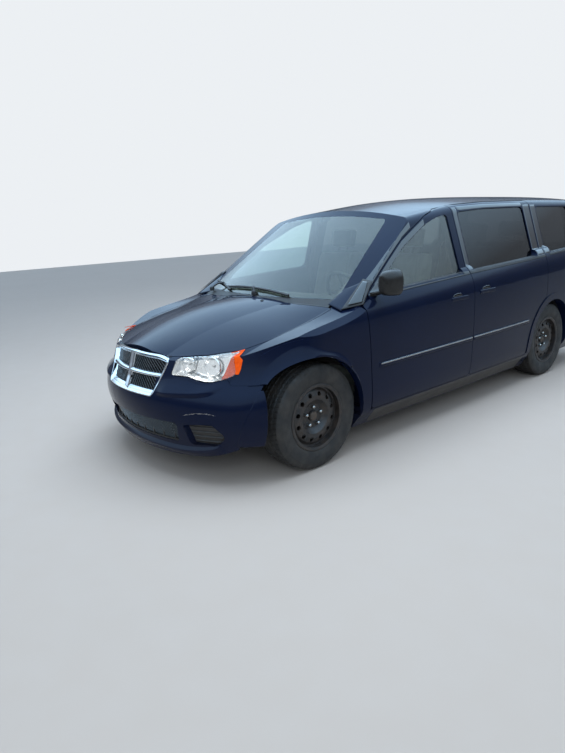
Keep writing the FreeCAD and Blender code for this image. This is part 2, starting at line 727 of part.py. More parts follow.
def rear_bumper():
    solid = SHELL.common(side_prism(REAR_BUMPER_SIDE, -1100, 1100))
    solid = solid.cut(WHEEL_ROOM).cut(gate_region(SHUT_GAP)).cut(FLOOR_ROOM)
    arch = both_sides(flare(REAR_FLARE, REAR_ARCH, 300)).common(block((-1200, 1200), (4300, 5400), (0, 612)))
    return one_solid(solid.fuse(arch).removeSplitter())


def roof_panel():
    return one_solid(SHELL.common(plan_prism(ROOF, 1350, 2000)).cut(SCREEN_CUT))


# The liftgate has a flat recess with two holes for a number plate
def liftgate():
    solid = SHELL.common(gate_region(0)).cut(front_prism(GATE_WINDOW, 4780, 5400))
    recess = block((-180, 180), (PLATE_STATION, 5400), (PLATE_LEVEL - 130, PLATE_LEVEL + 40))
    solid = one_solid(solid.cut(recess))
    for out in (-PLATE_SPACING / 2, PLATE_SPACING / 2):
        start = Vector(out, station(PLATE_STATION - PLATE_HOLE_DEPTH), PLATE_LEVEL)
        solid = solid.cut(tube(start, start + Vector(0, PLATE_HOLE_DEPTH + 10, 0), PLATE_HOLE_RADIUS))
    return solid


def gate_glass():
    return one_solid(PANE_LAYER.common(front_prism(GATE_WINDOW, 4780, 5400)))


def windscreen():
    return one_solid(SCREEN_LAYER.common(SCREEN_CUT))


# Steel floor with the cross members under it
def floor_pan():
    solid = block((-FLOOR_OUT + 1, FLOOR_OUT - 1), (CABIN_START, FLOOR_END), (FLOOR_LEVEL - 36, FLOOR_LEVEL))
    return solid.cut(WHEEL_ROOM).cut(STEER_ROOM)


def firewall():
    slab = FIREWALL_ROOM.common(block((-788, 788), (1285, 1330), (264, 899)))
    return one_solid(SHELL.common(slab).cut(STEER_ROOM))


def cowl():
    solid = SHELL.common(COWL_ROOM.common(block((-740, 740), (1150, 1350), (901, 1066))))
    solid = one_solid(solid.cut(HOOD_ROOM).cut(SCREEN_CUT))
    return solid.cut([tube(pivot, pivot + Vector(0, 0, 60), SPINDLE_RADIUS + 0.5) for pivot in wiper_pivots()])


def wheel_liner(arch, near, far):
    station_at, level, radius = arch
    thick = arch_space((station_at, level, radius + 8), near, far)
    solid = thick.cut(arch_space(arch, near - 10, far + 10))
    return solid.common(block((0, 1200), (0, 5400), (FLOOR_LEVEL + 2, 1000))).common(INNER_LOWER)


# Tyre and steel rim profiles: (radius, out)
TYRE_PROFILE = (
    (206, -92), (222, -96), (245, -106), (290, -112.5), (322, -108), (341, -96), (TYRE_RADIUS, -74),
    (TYRE_RADIUS, 74), (341, 96), (322, 108), (290, 112.5), (245, 106), (222, 96), (206, 92),
)
RIM_PROFILE = (
    (223, -101), (223, -97), (205.5, -93), (205.5, -60), (182, -45), (182, 10), (205.5, 40), (205.5, 93),
    (223, 97), (223, 101), (216, 103), (200, 98), (200, 60), (190, 58), (172, 72), (141, 81), (114, 79),
    (96, 60), (80, 46), (36, 46), (36, 38), (84, 38), (100, 48), (118, 68), (141, 71), (168, 60), (190, 42),
    (174, 15), (174, -40), (200, -64), (200, -98), (216, -103),
)
HUB_PROFILE = (
    (0, 58), (33, 58), (33, 38), (70, 38), (70, 12), (78, 6), (138, 6), (138, -18), (70, -18),
    (70, 5), (0, 5),
)
HAND_HOLES = 12
LUG_NUTS = 5
LUG_CIRCLE = 63.5


def ring_points(count, radius, start):
    for step in range(count):
        angle = math.radians(start + 360 * step / count)
        yield radius * math.cos(angle), radius * math.sin(angle)


def wheel_rim(track, axle):
    centre = Vector(track / 2, station(axle), WHEEL_HEIGHT)
    solid = turned(RIM_PROFILE, track / 2, axle, WHEEL_HEIGHT)
    for along, up in ring_points(HAND_HOLES, 152, 15):
        solid = solid.cut(tube(centre + Vector(30, along, up), centre + Vector(110, along, up), 15))
    solid = solid.fuse(turned(HUB_PROFILE, track / 2, axle, WHEEL_HEIGHT))
    for along, up in ring_points(LUG_NUTS, LUG_CIRCLE, 90):
        solid = solid.fuse(tube(centre + Vector(44, along, up), centre + Vector(68, along, up), 10.5))
    return solid


def tyre(track, axle):
    return turned(TYRE_PROFILE, track / 2, axle, WHEEL_HEIGHT)


# The kingpin line leans inboard as it rises
KINGPIN_FOOT = Vector(757, station(FRONT_AXLE), 210)
KINGPIN = Vector(-math.sin(math.radians(KINGPIN_LEAN)), 0, math.cos(math.radians(KINGPIN_LEAN)))


def on_kingpin(level):
    return KINGPIN_FOOT + KINGPIN * ((level - KINGPIN_FOOT.z) / KINGPIN.z)


def knuckle():
    hub_out = FRONT_TRACK / 2
    solid = tube(on_kingpin(238), on_kingpin(430), 27)
    hub = Vector(hub_out, station(FRONT_AXLE), WHEEL_HEIGHT)
    carrier = tube(hub - Vector(110, 0, 0), hub - Vector(20, 0, 0), 52)
    caliper = block((hub_out - 52, hub_out + 2), (FRONT_AXLE + 84, FRONT_AXLE + 160), (310, 389))
    caliper = caliper.cut(block((hub_out - 24, hub_out + 10), (FRONT_AXLE, FRONT_AXLE + 146), (200, 500)))
    bracket = block((hub_out - 70, hub_out - 40), (FRONT_AXLE + 20, FRONT_AXLE + 120), (315, 385))
    damper = tube(on_kingpin(420), on_kingpin(720), 24)
    seat = tube(on_kingpin(712), on_kingpin(722), 62)
    rod = tube(on_kingpin(720), on_kingpin(836), 11)
    solid = solid.fuse([carrier, caliper, bracket, damper, seat, rod])
    solid = solid.fuse(coil_spring(on_kingpin(721), KINGPIN))
    pin = tube(on_kingpin(206), on_kingpin(240), 9)
    return solid.fuse(pin).removeSplitter()


SPRING_RINGS = 9
SPRING_PITCH = 12.5


# The spring's turns as rings round its axis
def coil_spring(start, direction):
    points = [Vector(0, 11, 0)]
    for step in range(SPRING_RINGS):
        points.append(Vector(SPRING_PITCH * step, 42 + 14 * (step % 2), 0))
    points.append(Vector(SPRING_PITCH * (SPRING_RINGS - 1), 11, 0))
    points.append(points[0])
    solid = Part.Face(Part.makePolygon(points)).revolve(Vector(0, 0, 0), Vector(1, 0, 0), 360)
    solid.Placement = FreeCAD.Placement(start, FreeCAD.Rotation(Vector(1, 0, 0), direction))
    return solid


def front_subframe():
    cradle = block((-400, 400), (640, 1270), (200, 262)).cut(block((-310, 310), (730, 1160), (150, 300)))
    parts = []
    eye = tube(on_kingpin(210), on_kingpin(236), 26).cut(tube(on_kingpin(190), on_kingpin(250), 9.1))
    for along in (800, 1180):
        start = Vector(370, station(along), 228)
        end = on_kingpin(222) + (start - on_kingpin(222)).normalize() * 16
        parts.append(tube(start, end, 15))
    arm = parts[0].fuse(parts[1]).cut(tube(on_kingpin(190), on_kingpin(260), 25.9)).fuse(eye)
    arm = arm.cut(tube(on_kingpin(236.4), on_kingpin(270), 34))
    return cradle.fuse([arm, opposite(arm)]).removeSplitter()


def front_rails():
    rail = block((380, 456), (360, NOSE_SPACE_END), (440, 540))
    wall = block((440, 458), (840, 1080), (530, 838))
    top = block((440, 700), (840, 1080), (838, 852))
    side = rail.fuse([wall, top])
    cross = block((-456, 456), (345, 385), (420, 560))
    return side.fuse([opposite(side), cross]).removeSplitter()


def engine():
    return block((-330, 310), (600, 1120), (320, 830))


def radiator():
    return block((-372, 372), (392, 446), (300, 740))


def rear_axle():
    profile = (
        (3490, 192, 20), (3490, 256, 20), (3680, 256, 60), (3960, 392, 60), (4110, 392, 20),
        (4110, 300, 20), (3900, 192, 60),
    )
    arm = side_prism(profile, 580, 640)
    plate = block((630, 700), (REAR_AXLE - 70, REAR_AXLE + 70), (300, 400))
    hub = Vector(690, station(REAR_AXLE), WHEEL_HEIGHT)
    stub = tube(hub, hub + Vector(REAR_TRACK / 2 - 686, 0, 0), 30)
    side = arm.fuse([plate, stub])
    beam = block((-600, 600), (3740, 3830), (196, 258))
    return beam.fuse([side, opposite(side)]).removeSplitter()


def fuel_tank():
    tank = rounded_block((-640, -80), (2350, 3380), (178, 300), 40)
    return tank.common(block((-700, 0), (2300, 3500), (0, 264)))


def exhaust():
    path = ((120, 1290), (120, 3960), (380, 4180), (380, 4300))
    pipe = bent_bar([on_plan(out, along) + Vector(0, 0, 165) for out, along in path], 28, 90)
    muffler = rounded_block((200, 560), (4260, 4760), (135, 225), 30)
    start = on_plan(480, 4740) + Vector(0, 0, 180)
    return pipe.fuse([muffler, tube(start, start + Vector(0, 330, 0), 26)]).removeSplitter()


def dashboard():
    profile = (
        (1350, 700, 30), (1350, 1012, 30), (1480, 1034, 60), (1640, 1020, 50), (1716, 900, 60),
        (1660, 690, 60),
    )
    return side_prism(profile, -770, 770)


WHEEL_CENTRE = on_side(1830, 1010) + Vector(370, 0, 0)
COLUMN = Vector(0, math.cos(math.radians(26)), math.sin(math.radians(26)))


def steering_wheel():
    rim = Part.makeTorus(182, 15, WHEEL_CENTRE, COLUMN)
    hub = Part.makeCylinder(62, 46, WHEEL_CENTRE - COLUMN * 40, COLUMN)
    across = Vector(1, 0, 0)
    upward = COLUMN.cross(across)
    spokes = []
    for direction in (across, across * -1, upward * -1):
        spokes.append(tube(WHEEL_CENTRE - COLUMN * 12, WHEEL_CENTRE + direction * 180, 12))
    column = Part.makeCylinder(24, 120, WHEEL_CENTRE - COLUMN * 150, COLUMN)
    return hub.fuse([rim, column] + spokes).removeSplitter()


def seat(out, width, along, depth):
    base = FLOOR_LEVEL
    front = along
    cushion = (
        (front, base + 320, 40), (front + 10, base + 440, 40), (front + depth, base + 400, 20),
        (front + depth, base + 300, 20),
    )
    back = (
        (front + depth - 70, base + 380, 30), (front + depth + 10, base + 880, 100),
        (front + depth + 70, base + 1010, 24), (front + depth + 150, base + 990, 24),
        (front + depth + 70, base + 340, 30),
    )
    head = (
        (front + depth + 62, base + 1000, 20), (front + depth + 80, base + 1190, 30),
        (front + depth + 170, base + 1180, 30), (front + depth + 160, base + 980, 20),
    )
    solid = side_prism(cushion, out - width / 2, out + width / 2)
    solid = solid.fuse(side_prism(back, out - width / 2 + 10, out + width / 2 - 10))
    solid = solid.fuse(side_prism(head, out - 130, out + 130))
    across = (out - width / 2 + 60, out + width / 2 - 60)
    stand = block(across, (front + 60, front + depth - 40), (base, base + 330))
    return solid.fuse(stand).removeSplitter()


# The mirror's arm ends on the door's skin
def mirror():
    housing = rounded_block((972, 1128), (1448, 1580), (1070, 1242), 42)
    arm = rounded_block((880, 1010), (1480, 1560), (1054, 1090), 12)
    return housing.fuse(arm).removeSplitter().cut(OUTER_HOUSE.fuse(OUTER_LOWER))


# Where the two wiper arms turn
def wiper_pivots():
    return [Vector(out, station(1193.5 + 66.5 * (out / 640) ** 2), 1040) for out in (-640, 20)]


def wipers():
    parts = []
    for pivot, reach in zip(wiper_pivots(), (640, 600)):
        base = tube(pivot, pivot + Vector(0, 0, 34), SPINDLE_RADIUS)
        tip = Vector(pivot.x + reach, station(1262), 1104)
        parts.append(base.fuse(tube(pivot + Vector(0, 0, 26), tip, 7)))
    return Part.makeCompound(parts)


def built():
    yield "hood", hood()
    yield "fenders", both_sides(fender())
    side = body_side()
    yield "body_side_left", side
    yield "body_side_right", opposite(side)
    door = front_door()
    yield "front_door_left", door
    yield "front_door_right", opposite(door)
    yield "sliding_doors", both_sides(sliding_door())
    glass = pane(FRONT_WINDOW)
    yield "front_door_glass_left", glass
    yield "front_door_glass_right", opposite(glass)
    fixed = Part.makeCompound([pane(SLIDER_WINDOW), pane(QUARTER_WINDOW)])
    yield "side_glass", both_sides(fixed)
    yield "front_bumper", front_bumper()
    yield "grille", grille()
    yield "lower_grille", lower_grille()
    yield "headlamps", both_sides(headlamp())
    yield "tail_lamps", both_sides(tail_lamp())
    yield "rear_bumper", rear_bumper()
    yield "roof_panel", roof_panel()
    yield "liftgate", liftgate()
    yield "liftgate_glass", gate_glass()
    yield "windscreen", windscreen()
    yield "mirror_left", mirror()
    yield "cowl", cowl()
    yield "wipers", wipers()
    yield "floor_pan", floor_pan()
    yield "firewall", firewall()
    front_liner = wheel_liner((FRONT_AXLE, WHEEL_HEIGHT, 447), 500, 860)
    front_liner = front_liner.common(block((0, 1200), (880, 1284), (0, 1000)))
    fore_liner = wheel_liner((887, 295, 494), 500, 860).common(block((0, 1200), (0, 890), (0, 1000)))
    rear_liner = wheel_liner((REAR_AXLE, WHEEL_HEIGHT, REAR_ARCH[2] + 1), 575, 900)
    rear_wall = arch_space((REAR_AXLE, WHEEL_HEIGHT, REAR_ARCH[2] + 9), 567, 575)
    rear_wall = rear_wall.common(block((0, 1200), (0, 5400), (FLOOR_LEVEL + 2, 1000)))
    front_liner = front_liner.fuse(fore_liner).cut(tube(on_kingpin(600), on_kingpin(900), 70))
    yield "wheel_liners", both_sides(Part.makeCompound([front_liner, rear_liner.fuse(rear_wall)]))
    for side_name, turn in (("left", lambda shape: shape), ("right", opposite)):
        for end, track, axle in (("front", FRONT_TRACK, FRONT_AXLE), ("rear", REAR_TRACK, REAR_AXLE)):
            yield f"rim_{end}_{side_name}", turn(wheel_rim(track, axle))
            yield f"tyre_{end}_{side_name}", turn(tyre(track, axle))
        yield f"knuckle_{side_name}", turn(knuckle())
    yield "front_subframe", front_subframe()
    yield "front_rails", front_rails()
    yield "engine", engine()
    yield "radiator", radiator()
    yield "rear_axle", rear_axle()
    yield "fuel_tank", fuel_tank()
    yield "exhaust", exhaust()
    yield "dashboard", dashboard()
    yield "steering_wheel", steering_wheel()
    yield "front_seats", both_sides(seat(380, 520, 1940, 540))
    yield "middle_seats", both_sides(seat(400, 500, 2880, 500))
    yield "rear_seat", seat(0, 1110, 3840, 440)


for name, shape in built():
    placed = shape.copy()
    placed.translate(Vector(-ORIGIN_OUT, 0, 0))
    placed.exportStep(f"parts/{name}.step")
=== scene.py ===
import math

import bmesh
import bpy
import numpy as np
from mathutils import Matrix


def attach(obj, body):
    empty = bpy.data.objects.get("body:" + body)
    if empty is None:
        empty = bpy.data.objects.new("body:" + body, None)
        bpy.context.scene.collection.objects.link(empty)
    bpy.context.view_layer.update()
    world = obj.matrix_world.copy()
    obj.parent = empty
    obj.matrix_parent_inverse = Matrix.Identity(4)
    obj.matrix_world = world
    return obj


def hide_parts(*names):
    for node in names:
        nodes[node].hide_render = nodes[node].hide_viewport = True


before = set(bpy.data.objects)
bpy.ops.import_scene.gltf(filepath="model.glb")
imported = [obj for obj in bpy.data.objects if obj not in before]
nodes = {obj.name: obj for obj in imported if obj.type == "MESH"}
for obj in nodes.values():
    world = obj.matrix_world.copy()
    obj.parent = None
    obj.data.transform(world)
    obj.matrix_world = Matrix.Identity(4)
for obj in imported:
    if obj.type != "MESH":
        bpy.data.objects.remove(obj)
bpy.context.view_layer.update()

# Metres. +X is the vehicle's left, -Y its front, +Z up. A station is measured
# back from a plane a little ahead of the front bumper, as in the CAD. Pieces are
# drawn about the body's centre plane, which lies to the right of the origin.
stationZero = -2.6705
centrePlane = np.array((-0.064, 0.0, 0.0))


def yOf(along):
    return along + stationZero


# Camera
viewpoint = {"place": (3.4915, -4.1149, 1.5738), "turn": 50.273, "drop": 15.037, "lean": -2.701,
             "lens": 27.581, "sensor": 36.0, "far": 200.0}


def makeCamera(view):
    turn, drop, lean = (math.radians(view[key]) for key in ("turn", "drop", "lean"))
    ahead = np.array([-math.sin(turn) * math.cos(drop), math.cos(turn) * math.cos(drop), -math.sin(drop)])
    right = np.cross(ahead, (0, 0, 1))
    right /= np.linalg.norm(right)
    up = np.cross(right, ahead)
    across = math.cos(lean) * right + math.sin(lean) * up
    upright = -math.sin(lean) * right + math.cos(lean) * up
    matrix = np.eye(4)
    matrix[:3, 0], matrix[:3, 1], matrix[:3, 2] = across, upright, -ahead
    matrix[:3, 3] = centrePlane + view["place"]
    camera = bpy.data.objects.new("camera", bpy.data.cameras.new("camera"))
    bpy.context.scene.collection.objects.link(camera)
    camera.matrix_world = Matrix(matrix.tolist())
    camera.data.lens = view["lens"]
    camera.data.sensor_width = view["sensor"]
    camera.data.clip_end = view["far"]
    bpy.context.scene.camera = camera


makeCamera(viewpoint)
bpy.context.scene.view_settings.view_transform = "Standard"
print("camera ready")

# Materials


def newMaterial(name):
    material = bpy.data.materials.new(name)
    material.use_nodes = True
    return material, material.node_tree.nodes, material.node_tree.links


def ramp(tree, links, source, stops):
    node = tree.new("ShaderNodeValToRGB")
    while len(node.color_ramp.elements) < len(stops):
        node.color_ramp.elements.new(0.5)
    for element, (place, color) in zip(node.color_ramp.elements, stops):
        element.position = place
        element.color = (*color, 1)
    links.new(source, node.inputs[0])
    return node.outputs[0]


def grey(value):
    return (value, value, value)


# One recipe for most surfaces: two colours mixed by soft noise, roughness that
# varies with a second noise, and fine bumps. Dust gathers below a level.
def finish(name, look):
    material, tree, links = newMaterial(name)
    shader = tree["Principled BSDF"]
    place = tree.new("ShaderNodeTexCoord").outputs["Object"]
    blotch = tree.new("ShaderNodeTexNoise")
    blotch.inputs["Scale"].default_value = look.get("blotch", 3.0)
    blotch.inputs["Detail"].default_value = 5.0
    links.new(place, blotch.inputs["Vector"])
    color = ramp(tree, links, blotch.outputs[0], [(0.35, look["color"]), (0.68, look["second"])])
    if "dust" in look:
        dust = look["dust"]
        split = tree.new("ShaderNodeSeparateXYZ")
        links.new(place, split.inputs[0])
        height = tree.new("ShaderNodeMapRange")
        height.inputs["From Min"].default_value = dust["top"]
        height.inputs["From Max"].default_value = dust["foot"]
        height.inputs["To Max"].default_value = dust["share"]
        links.new(split.outputs["Z"], height.inputs["Value"])
        grain = tree.new("ShaderNodeTexNoise")
        grain.inputs["Scale"].default_value = dust.get("grain", 9.0)
        grain.inputs["Detail"].default_value = 8.0
        links.new(place, grain.inputs["Vector"])
        spread = tree.new("ShaderNodeMath")
        spread.operation = "MULTIPLY"
        links.new(height.outputs[0], spread.inputs[0])
        links.new(grain.outputs[0], spread.inputs[1])
        mix = tree.new("ShaderNodeMix")
        mix.data_type = "RGBA"
        mix.inputs["B"].default_value = (*dust["color"], 1)
        links.new(spread.outputs[0], mix.inputs["Factor"])
        links.new(color, mix.inputs["A"])
        color = mix.outputs["Result"]
    links.new(color, shader.inputs["Base Color"])
    patch = tree.new("ShaderNodeTexNoise")
    patch.inputs["Scale"].default_value = look.get("patch", 6.0)
    patch.inputs["Detail"].default_value = 6.0
    links.new(place, patch.inputs["Vector"])
    low, high = look["rough"]
    uneven = ramp(tree, links, patch.outputs[0], [(0.3, grey(low)), (0.7, grey(high))])
    links.new(uneven, shader.inputs["Roughness"])
    if look.get("bump", 0):
        fine = tree.new("ShaderNodeTexNoise")
        fine.inputs["Scale"].default_value = look.get("fine", 400.0)
        fine.inputs["Detail"].default_value = 3.0
        links.new(place, fine.inputs["Vector"])
        bump = tree.new("ShaderNodeBump")
        bump.inputs["Strength"].default_value = look["bump"]
        bump.inputs["Distance"].default_value = look.get("depth", 0.0006)
        links.new(fine.outputs[0], bump.inputs["Height"])
        links.new(bump.outputs[0], shader.inputs["Normal"])
    for socket, value in look.get("sockets", {}).items():
        shader.inputs[socket].default_value = value
    return material


dustColor = (0.16, 0.14, 0.12)
materials = {
    "paint": finish("deepNavyPaint", {
        "color": (0.0032, 0.0072, 0.0260), "second": (0.0042, 0.0092, 0.0320), "blotch": 1.5,
        "rough": (0.34, 0.42), "patch": 3.0, "bump": 0.02, "fine": 900.0, "depth": 0.0001,
        "dust": {"top": 0.42, "foot": 0.12, "share": 0.16, "color": dustColor, "grain": 7.0},
        "sockets": {"Specular IOR Level": 0.03, "Coat Weight": 1.0, "Coat Roughness": 0.02,
                    "Coat IOR": 1.18}}),
    "rubber": finish("dustyTyreRubber", {
        "color": (0.012, 0.012, 0.012), "second": (0.030, 0.028, 0.026), "blotch": 14.0,
        "rough": (0.62, 0.85), "patch": 20.0, "bump": 0.25, "fine": 260.0}),
    "wheelSteel": finish("blackWheelSteel", {
        "color": (0.012, 0.012, 0.013), "second": (0.035, 0.028, 0.024), "blotch": 22.0, "rough": (0.38, 0.6),
        "patch": 16.0, "bump": 0.12, "fine": 180.0}),
    "castMetal": finish("castSteel", {
        "color": (0.07, 0.065, 0.06), "second": (0.13, 0.10, 0.08), "blotch": 12.0, "rough": (0.5, 0.75),
        "bump": 0.4, "fine": 150.0, "sockets": {"Metallic": 0.7}}),
    "underSteel": finish("underbodySteel", {
        "color": (0.030, 0.030, 0.032), "second": (0.06, 0.055, 0.05), "blotch": 5.0, "rough": (0.6, 0.85),
        "bump": 0.3, "fine": 120.0}),
    "engineAlloy": finish("engineAlloy", {
        "color": (0.22, 0.22, 0.22), "second": (0.35, 0.34, 0.33), "blotch": 9.0, "rough": (0.4, 0.6),
        "bump": 0.3, "fine": 160.0, "sockets": {"Metallic": 0.8}}),
    "exhaustSteel": finish("exhaustSteel", {
        "color": (0.22, 0.19, 0.16), "second": (0.35, 0.30, 0.25), "blotch": 8.0, "rough": (0.35, 0.6),
        "bump": 0.15, "fine": 200.0, "sockets": {"Metallic": 0.9}}),
    "chrome": finish("brightChrome", {
        "color": (0.72, 0.74, 0.76), "second": (0.62, 0.63, 0.64), "blotch": 12.0, "rough": (0.06, 0.14),
        "patch": 20.0, "sockets": {"Metallic": 1.0}}),
    "blackPlastic": finish("mattBlackPlastic", {
        "color": (0.014, 0.014, 0.015), "second": (0.024, 0.024, 0.025), "blotch": 6.0, "rough": (0.45, 0.62),
        "bump": 0.25, "fine": 700.0, "depth": 0.0003,
        "dust": {"top": 0.9, "foot": 0.15, "share": 0.22, "color": dustColor}}),
    "glossBlack": finish("glossBlackTrim", {
        "color": (0.006, 0.006, 0.007), "second": (0.010, 0.010, 0.011), "rough": (0.12, 0.22), "patch": 9.0,
        "sockets": {"Coat Weight": 0.6, "Coat Roughness": 0.05}}),
    "redLens": finish("redLampLens", {
        "color": (0.30, 0.004, 0.008), "second": (0.42, 0.008, 0.010), "blotch": 30.0, "rough": (0.06, 0.14),
        "sockets": {"Coat Weight": 1.0, "Coat Roughness": 0.03}}),
    "seatCloth": finish("stoneSeatCloth", {
        "color": (0.115, 0.105, 0.094), "second": (0.155, 0.143, 0.128), "blotch": 18.0,
        "rough": (0.85, 0.97), "bump": 0.6, "fine": 900.0, "depth": 0.0008,
        "sockets": {"Sheen Weight": 0.3}}),
    "cabinPlastic": finish("softCabinPlastic", {
        "color": (0.055, 0.053, 0.050), "second": (0.075, 0.072, 0.068), "blotch": 5.0, "rough": (0.55, 0.7),
        "bump": 0.35, "fine": 600.0, "depth": 0.0004}),
    "nutSteel": finish("brightNutSteel", {
        "color": (0.42, 0.41, 0.39), "second": (0.62, 0.60, 0.57), "blotch": 60.0, "rough": (0.22, 0.42),
        "patch": 40.0, "sockets": {"Metallic": 1.0}}),
    "reflector": finish("lampReflector", {
        "color": (0.94, 0.94, 0.93), "second": (0.88, 0.88, 0.87), "blotch": 20.0, "rough": (0.12, 0.20),
        "patch": 30.0, "sockets": {"Metallic": 0.9}}),
    "bulbGlass": finish("frostedBulb", {
        "color": (0.75, 0.76, 0.74), "second": (0.62, 0.63, 0.62), "blotch": 80.0, "rough": (0.2, 0.35)}),
    "amberLens": finish("amberReflector", {
        "color": (0.95, 0.12, 0.004), "second": (0.84, 0.09, 0.003), "blotch": 50.0, "rough": (0.25, 0.35),
        "sockets": {"Specular IOR Level": 0.15}}),
    "satinBlack": finish("satinBlackHousing", {
        "color": (0.016, 0.017, 0.018), "second": (0.026, 0.027, 0.028), "blotch": 14.0,
        "rough": (0.24, 0.34), "bump": 0.12, "fine": 700.0, "depth": 0.0002,
        "sockets": {"Specular IOR Level": 0.25}}),
    "satinTrim": finish("satinTrimStrip", {
        "color": (0.34, 0.35, 0.36), "second": (0.28, 0.29, 0.30), "blotch": 25.0, "rough": (0.24, 0.36),
        "sockets": {"Metallic": 0.85}}),
    "scrape": finish("scrapedPaint", {
        "color": (0.42, 0.43, 0.44), "second": (0.10, 0.11, 0.13), "blotch": 120.0, "rough": (0.6, 0.8),
        "bump": 0.3, "fine": 500.0}),
    "mirrorSilver": finish("mirrorSilver", {
        "color": (0.80, 0.84, 0.86), "second": (0.76, 0.80, 0.82), "blotch": 9.0, "rough": (0.02, 0.05),
        "sockets": {"Metallic": 1.0}}),
    "plateWhite": finish("blankPlateWhite", {
        "color": (0.72, 0.73, 0.72), "second": (0.66, 0.67, 0.66), "blotch": 20.0, "rough": (0.35, 0.5)}),
}


# Clear or dark glass: its tint and its gloss vary a little with a soft haze
def glass(name, color, rough):
    material, tree, links = newMaterial(name)
    shader = tree["Principled BSDF"]
    place = tree.new("ShaderNodeTexCoord").outputs["Object"]
    haze = tree.new("ShaderNodeTexNoise")
    haze.inputs["Scale"].default_value = 4.0
    haze.inputs["Detail"].default_value = 6.0
    links.new(place, haze.inputs["Vector"])
    dull = tuple(0.93 * value for value in color)
    links.new(ramp(tree, links, haze.outputs[0], [(0.4, color), (0.75, dull)]), shader.inputs["Base Color"])
    smear = ramp(tree, links, haze.outputs[0], [(0.3, grey(rough)), (0.8, grey(rough + 0.02))])
    links.new(smear, shader.inputs["Roughness"])
    shader.inputs["Transmission Weight"].default_value = 1.0
    shader.inputs["IOR"].default_value = 1.5
    return material


materials["clearGlass"] = glass("greenishSafetyGlass", (0.62, 0.75, 0.72), 0.0)
materials["darkGlass"] = glass("privacyGlass", (0.09, 0.095, 0.10), 0.0)
materials["lampLens"] = glass("clearLampLens", (0.93, 0.95, 0.96), 0.02)

nodeFinish = {
    "rubber": ["tyre_front_left", "tyre_front_right", "tyre_rear_left", "tyre_rear_right"],
    "wheelSteel": ["rim_front_left", "rim_front_right", "rim_rear_left", "rim_rear_right"],
    "castMetal": ["knuckle_left", "knuckle_right", "front_subframe", "rear_axle"],
    "underSteel": ["front_rails", "firewall", "floor_pan", "fuel_tank"],
    "engineAlloy": ["engine"],
    "exhaustSteel": ["exhaust"],
    "chrome": ["grille"],
    "blackPlastic": ["lower_grille", "cowl", "wipers", "wheel_liners", "radiator"],
    "satinBlack": ["mirror_left"],
    "lampLens": ["headlamps"],
    "redLens": ["tail_lamps"],
    "clearGlass": ["windscreen", "front_door_glass_left", "front_door_glass_right"],
    "darkGlass": ["side_glass", "liftgate_glass"],
    "seatCloth": ["front_seats", "middle_seats", "rear_seat"],
    "cabinPlastic": ["dashboard", "steering_wheel"],
    "paint": ["hood", "fenders", "body_side_left", "body_side_right", "front_door_left", "front_door_right",
              "sliding_doors", "front_bumper", "rear_bumper", "roof_panel", "liftgate"],
}
for finishName, members in nodeFinish.items():
    for member in members:
        slots = nodes[member].material_slots
        for slot in slots:
            slot.material = materials[finishName]
        if not slots:
            nodes[member].data.materials.append(materials[finishName])
print("materials ready")

# Reading the CAD surfaces


def trianglesOf(*names):
    parts = []
    for name in names:
        mesh = nodes[name].data
        mesh.calc_loop_triangles()
        corners = np.empty(len(mesh.loop_triangles) * 3, np.int32)
        mesh.loop_triangles.foreach_get("vertices", corners)
        points = np.empty(len(mesh.vertices) * 3)
        mesh.vertices.foreach_get("co", points)
        parts.append(points.reshape(-1, 3)[corners].reshape(-1, 3, 3) - centrePlane)
    return np.concatenate(parts)


# Where rays along one axis first touch the triangles, coming from the side that
# the sign names. A ray through (first, second) touches a triangle where both of
# its weights and their sum lie between 0 and 1. A miss takes the spare value.
# The rays go in batches, to keep the arrays small.
rayBatch = 300


def touch(triangles, axis, sign, first, second, spare):
    first, second, spare = np.broadcast_arrays(first, second, spare)
    spots = np.stack([first, second], -1).reshape(-1, 2)
    flat = np.delete(triangles, axis, 2)
    near = (flat.max(1) >= spots.min(0)).all(1) & (flat.min(1) <= spots.max(0)).all(1)
    flat, depth = flat[near], triangles[near][:, :, axis]
    base, toSecond, toThird = flat[:, 0], flat[:, 1] - flat[:, 0], flat[:, 2] - flat[:, 0]
    area = toSecond[:, 0] * toThird[:, 1] - toSecond[:, 1] * toThird[:, 0]
    area[np.abs(area) < 1e-12] = 1e-12
    found = np.array(spare, float).reshape(-1)
    for start in range(0, len(spots), rayBatch):
        away = spots[start:start + rayBatch, None] - base
        third = (toSecond[:, 0] * away[..., 1] - toSecond[:, 1] * away[..., 0]) / area
        second = (away[..., 0] * toThird[:, 1] - away[..., 1] * toThird[:, 0]) / area
        level = depth[:, 0] + second * (depth[:, 1] - depth[:, 0]) + third * (depth[:, 2] - depth[:, 0])
        inside = (third > -1e-5) & (second > -1e-5) & (third + second < 1 + 1e-5)
        best = np.where(inside, level * sign, -np.inf).max(1)
        part = found[start:start + rayBatch]
        part[np.isfinite(best)] = best[np.isfinite(best)] * sign
    return found.reshape(first.shape)


# The body's side. Below the belt it is half the width at a level, less the bow of a
# large circle in plan. Above, it leans in evenly from the belt to the roof's rail.
sideShape = {
    "half": [(0.165, 0.885), (0.26, 0.95), (0.4, 0.984), (0.56, 0.991), (0.72, 0.996), (0.86, 0.996),
             (0.972, 0.984), (1.03, 0.955)],
    "belt": [(1.5, 0.912), (2.08, 0.926), (2.65, 0.93), (3.4, 0.928), (4.2, 0.914), (5.3, 0.884)],
    "rail": [(1.5, 1.5), (2.08, 1.552), (2.65, 1.625), (3.4, 1.654), (4.2, 1.65), (5.3, 1.61)],
    "widest": 2.45, "bow": 120, "beltUp": 1.06, "lean": 0.18, "split": 1.04,
}


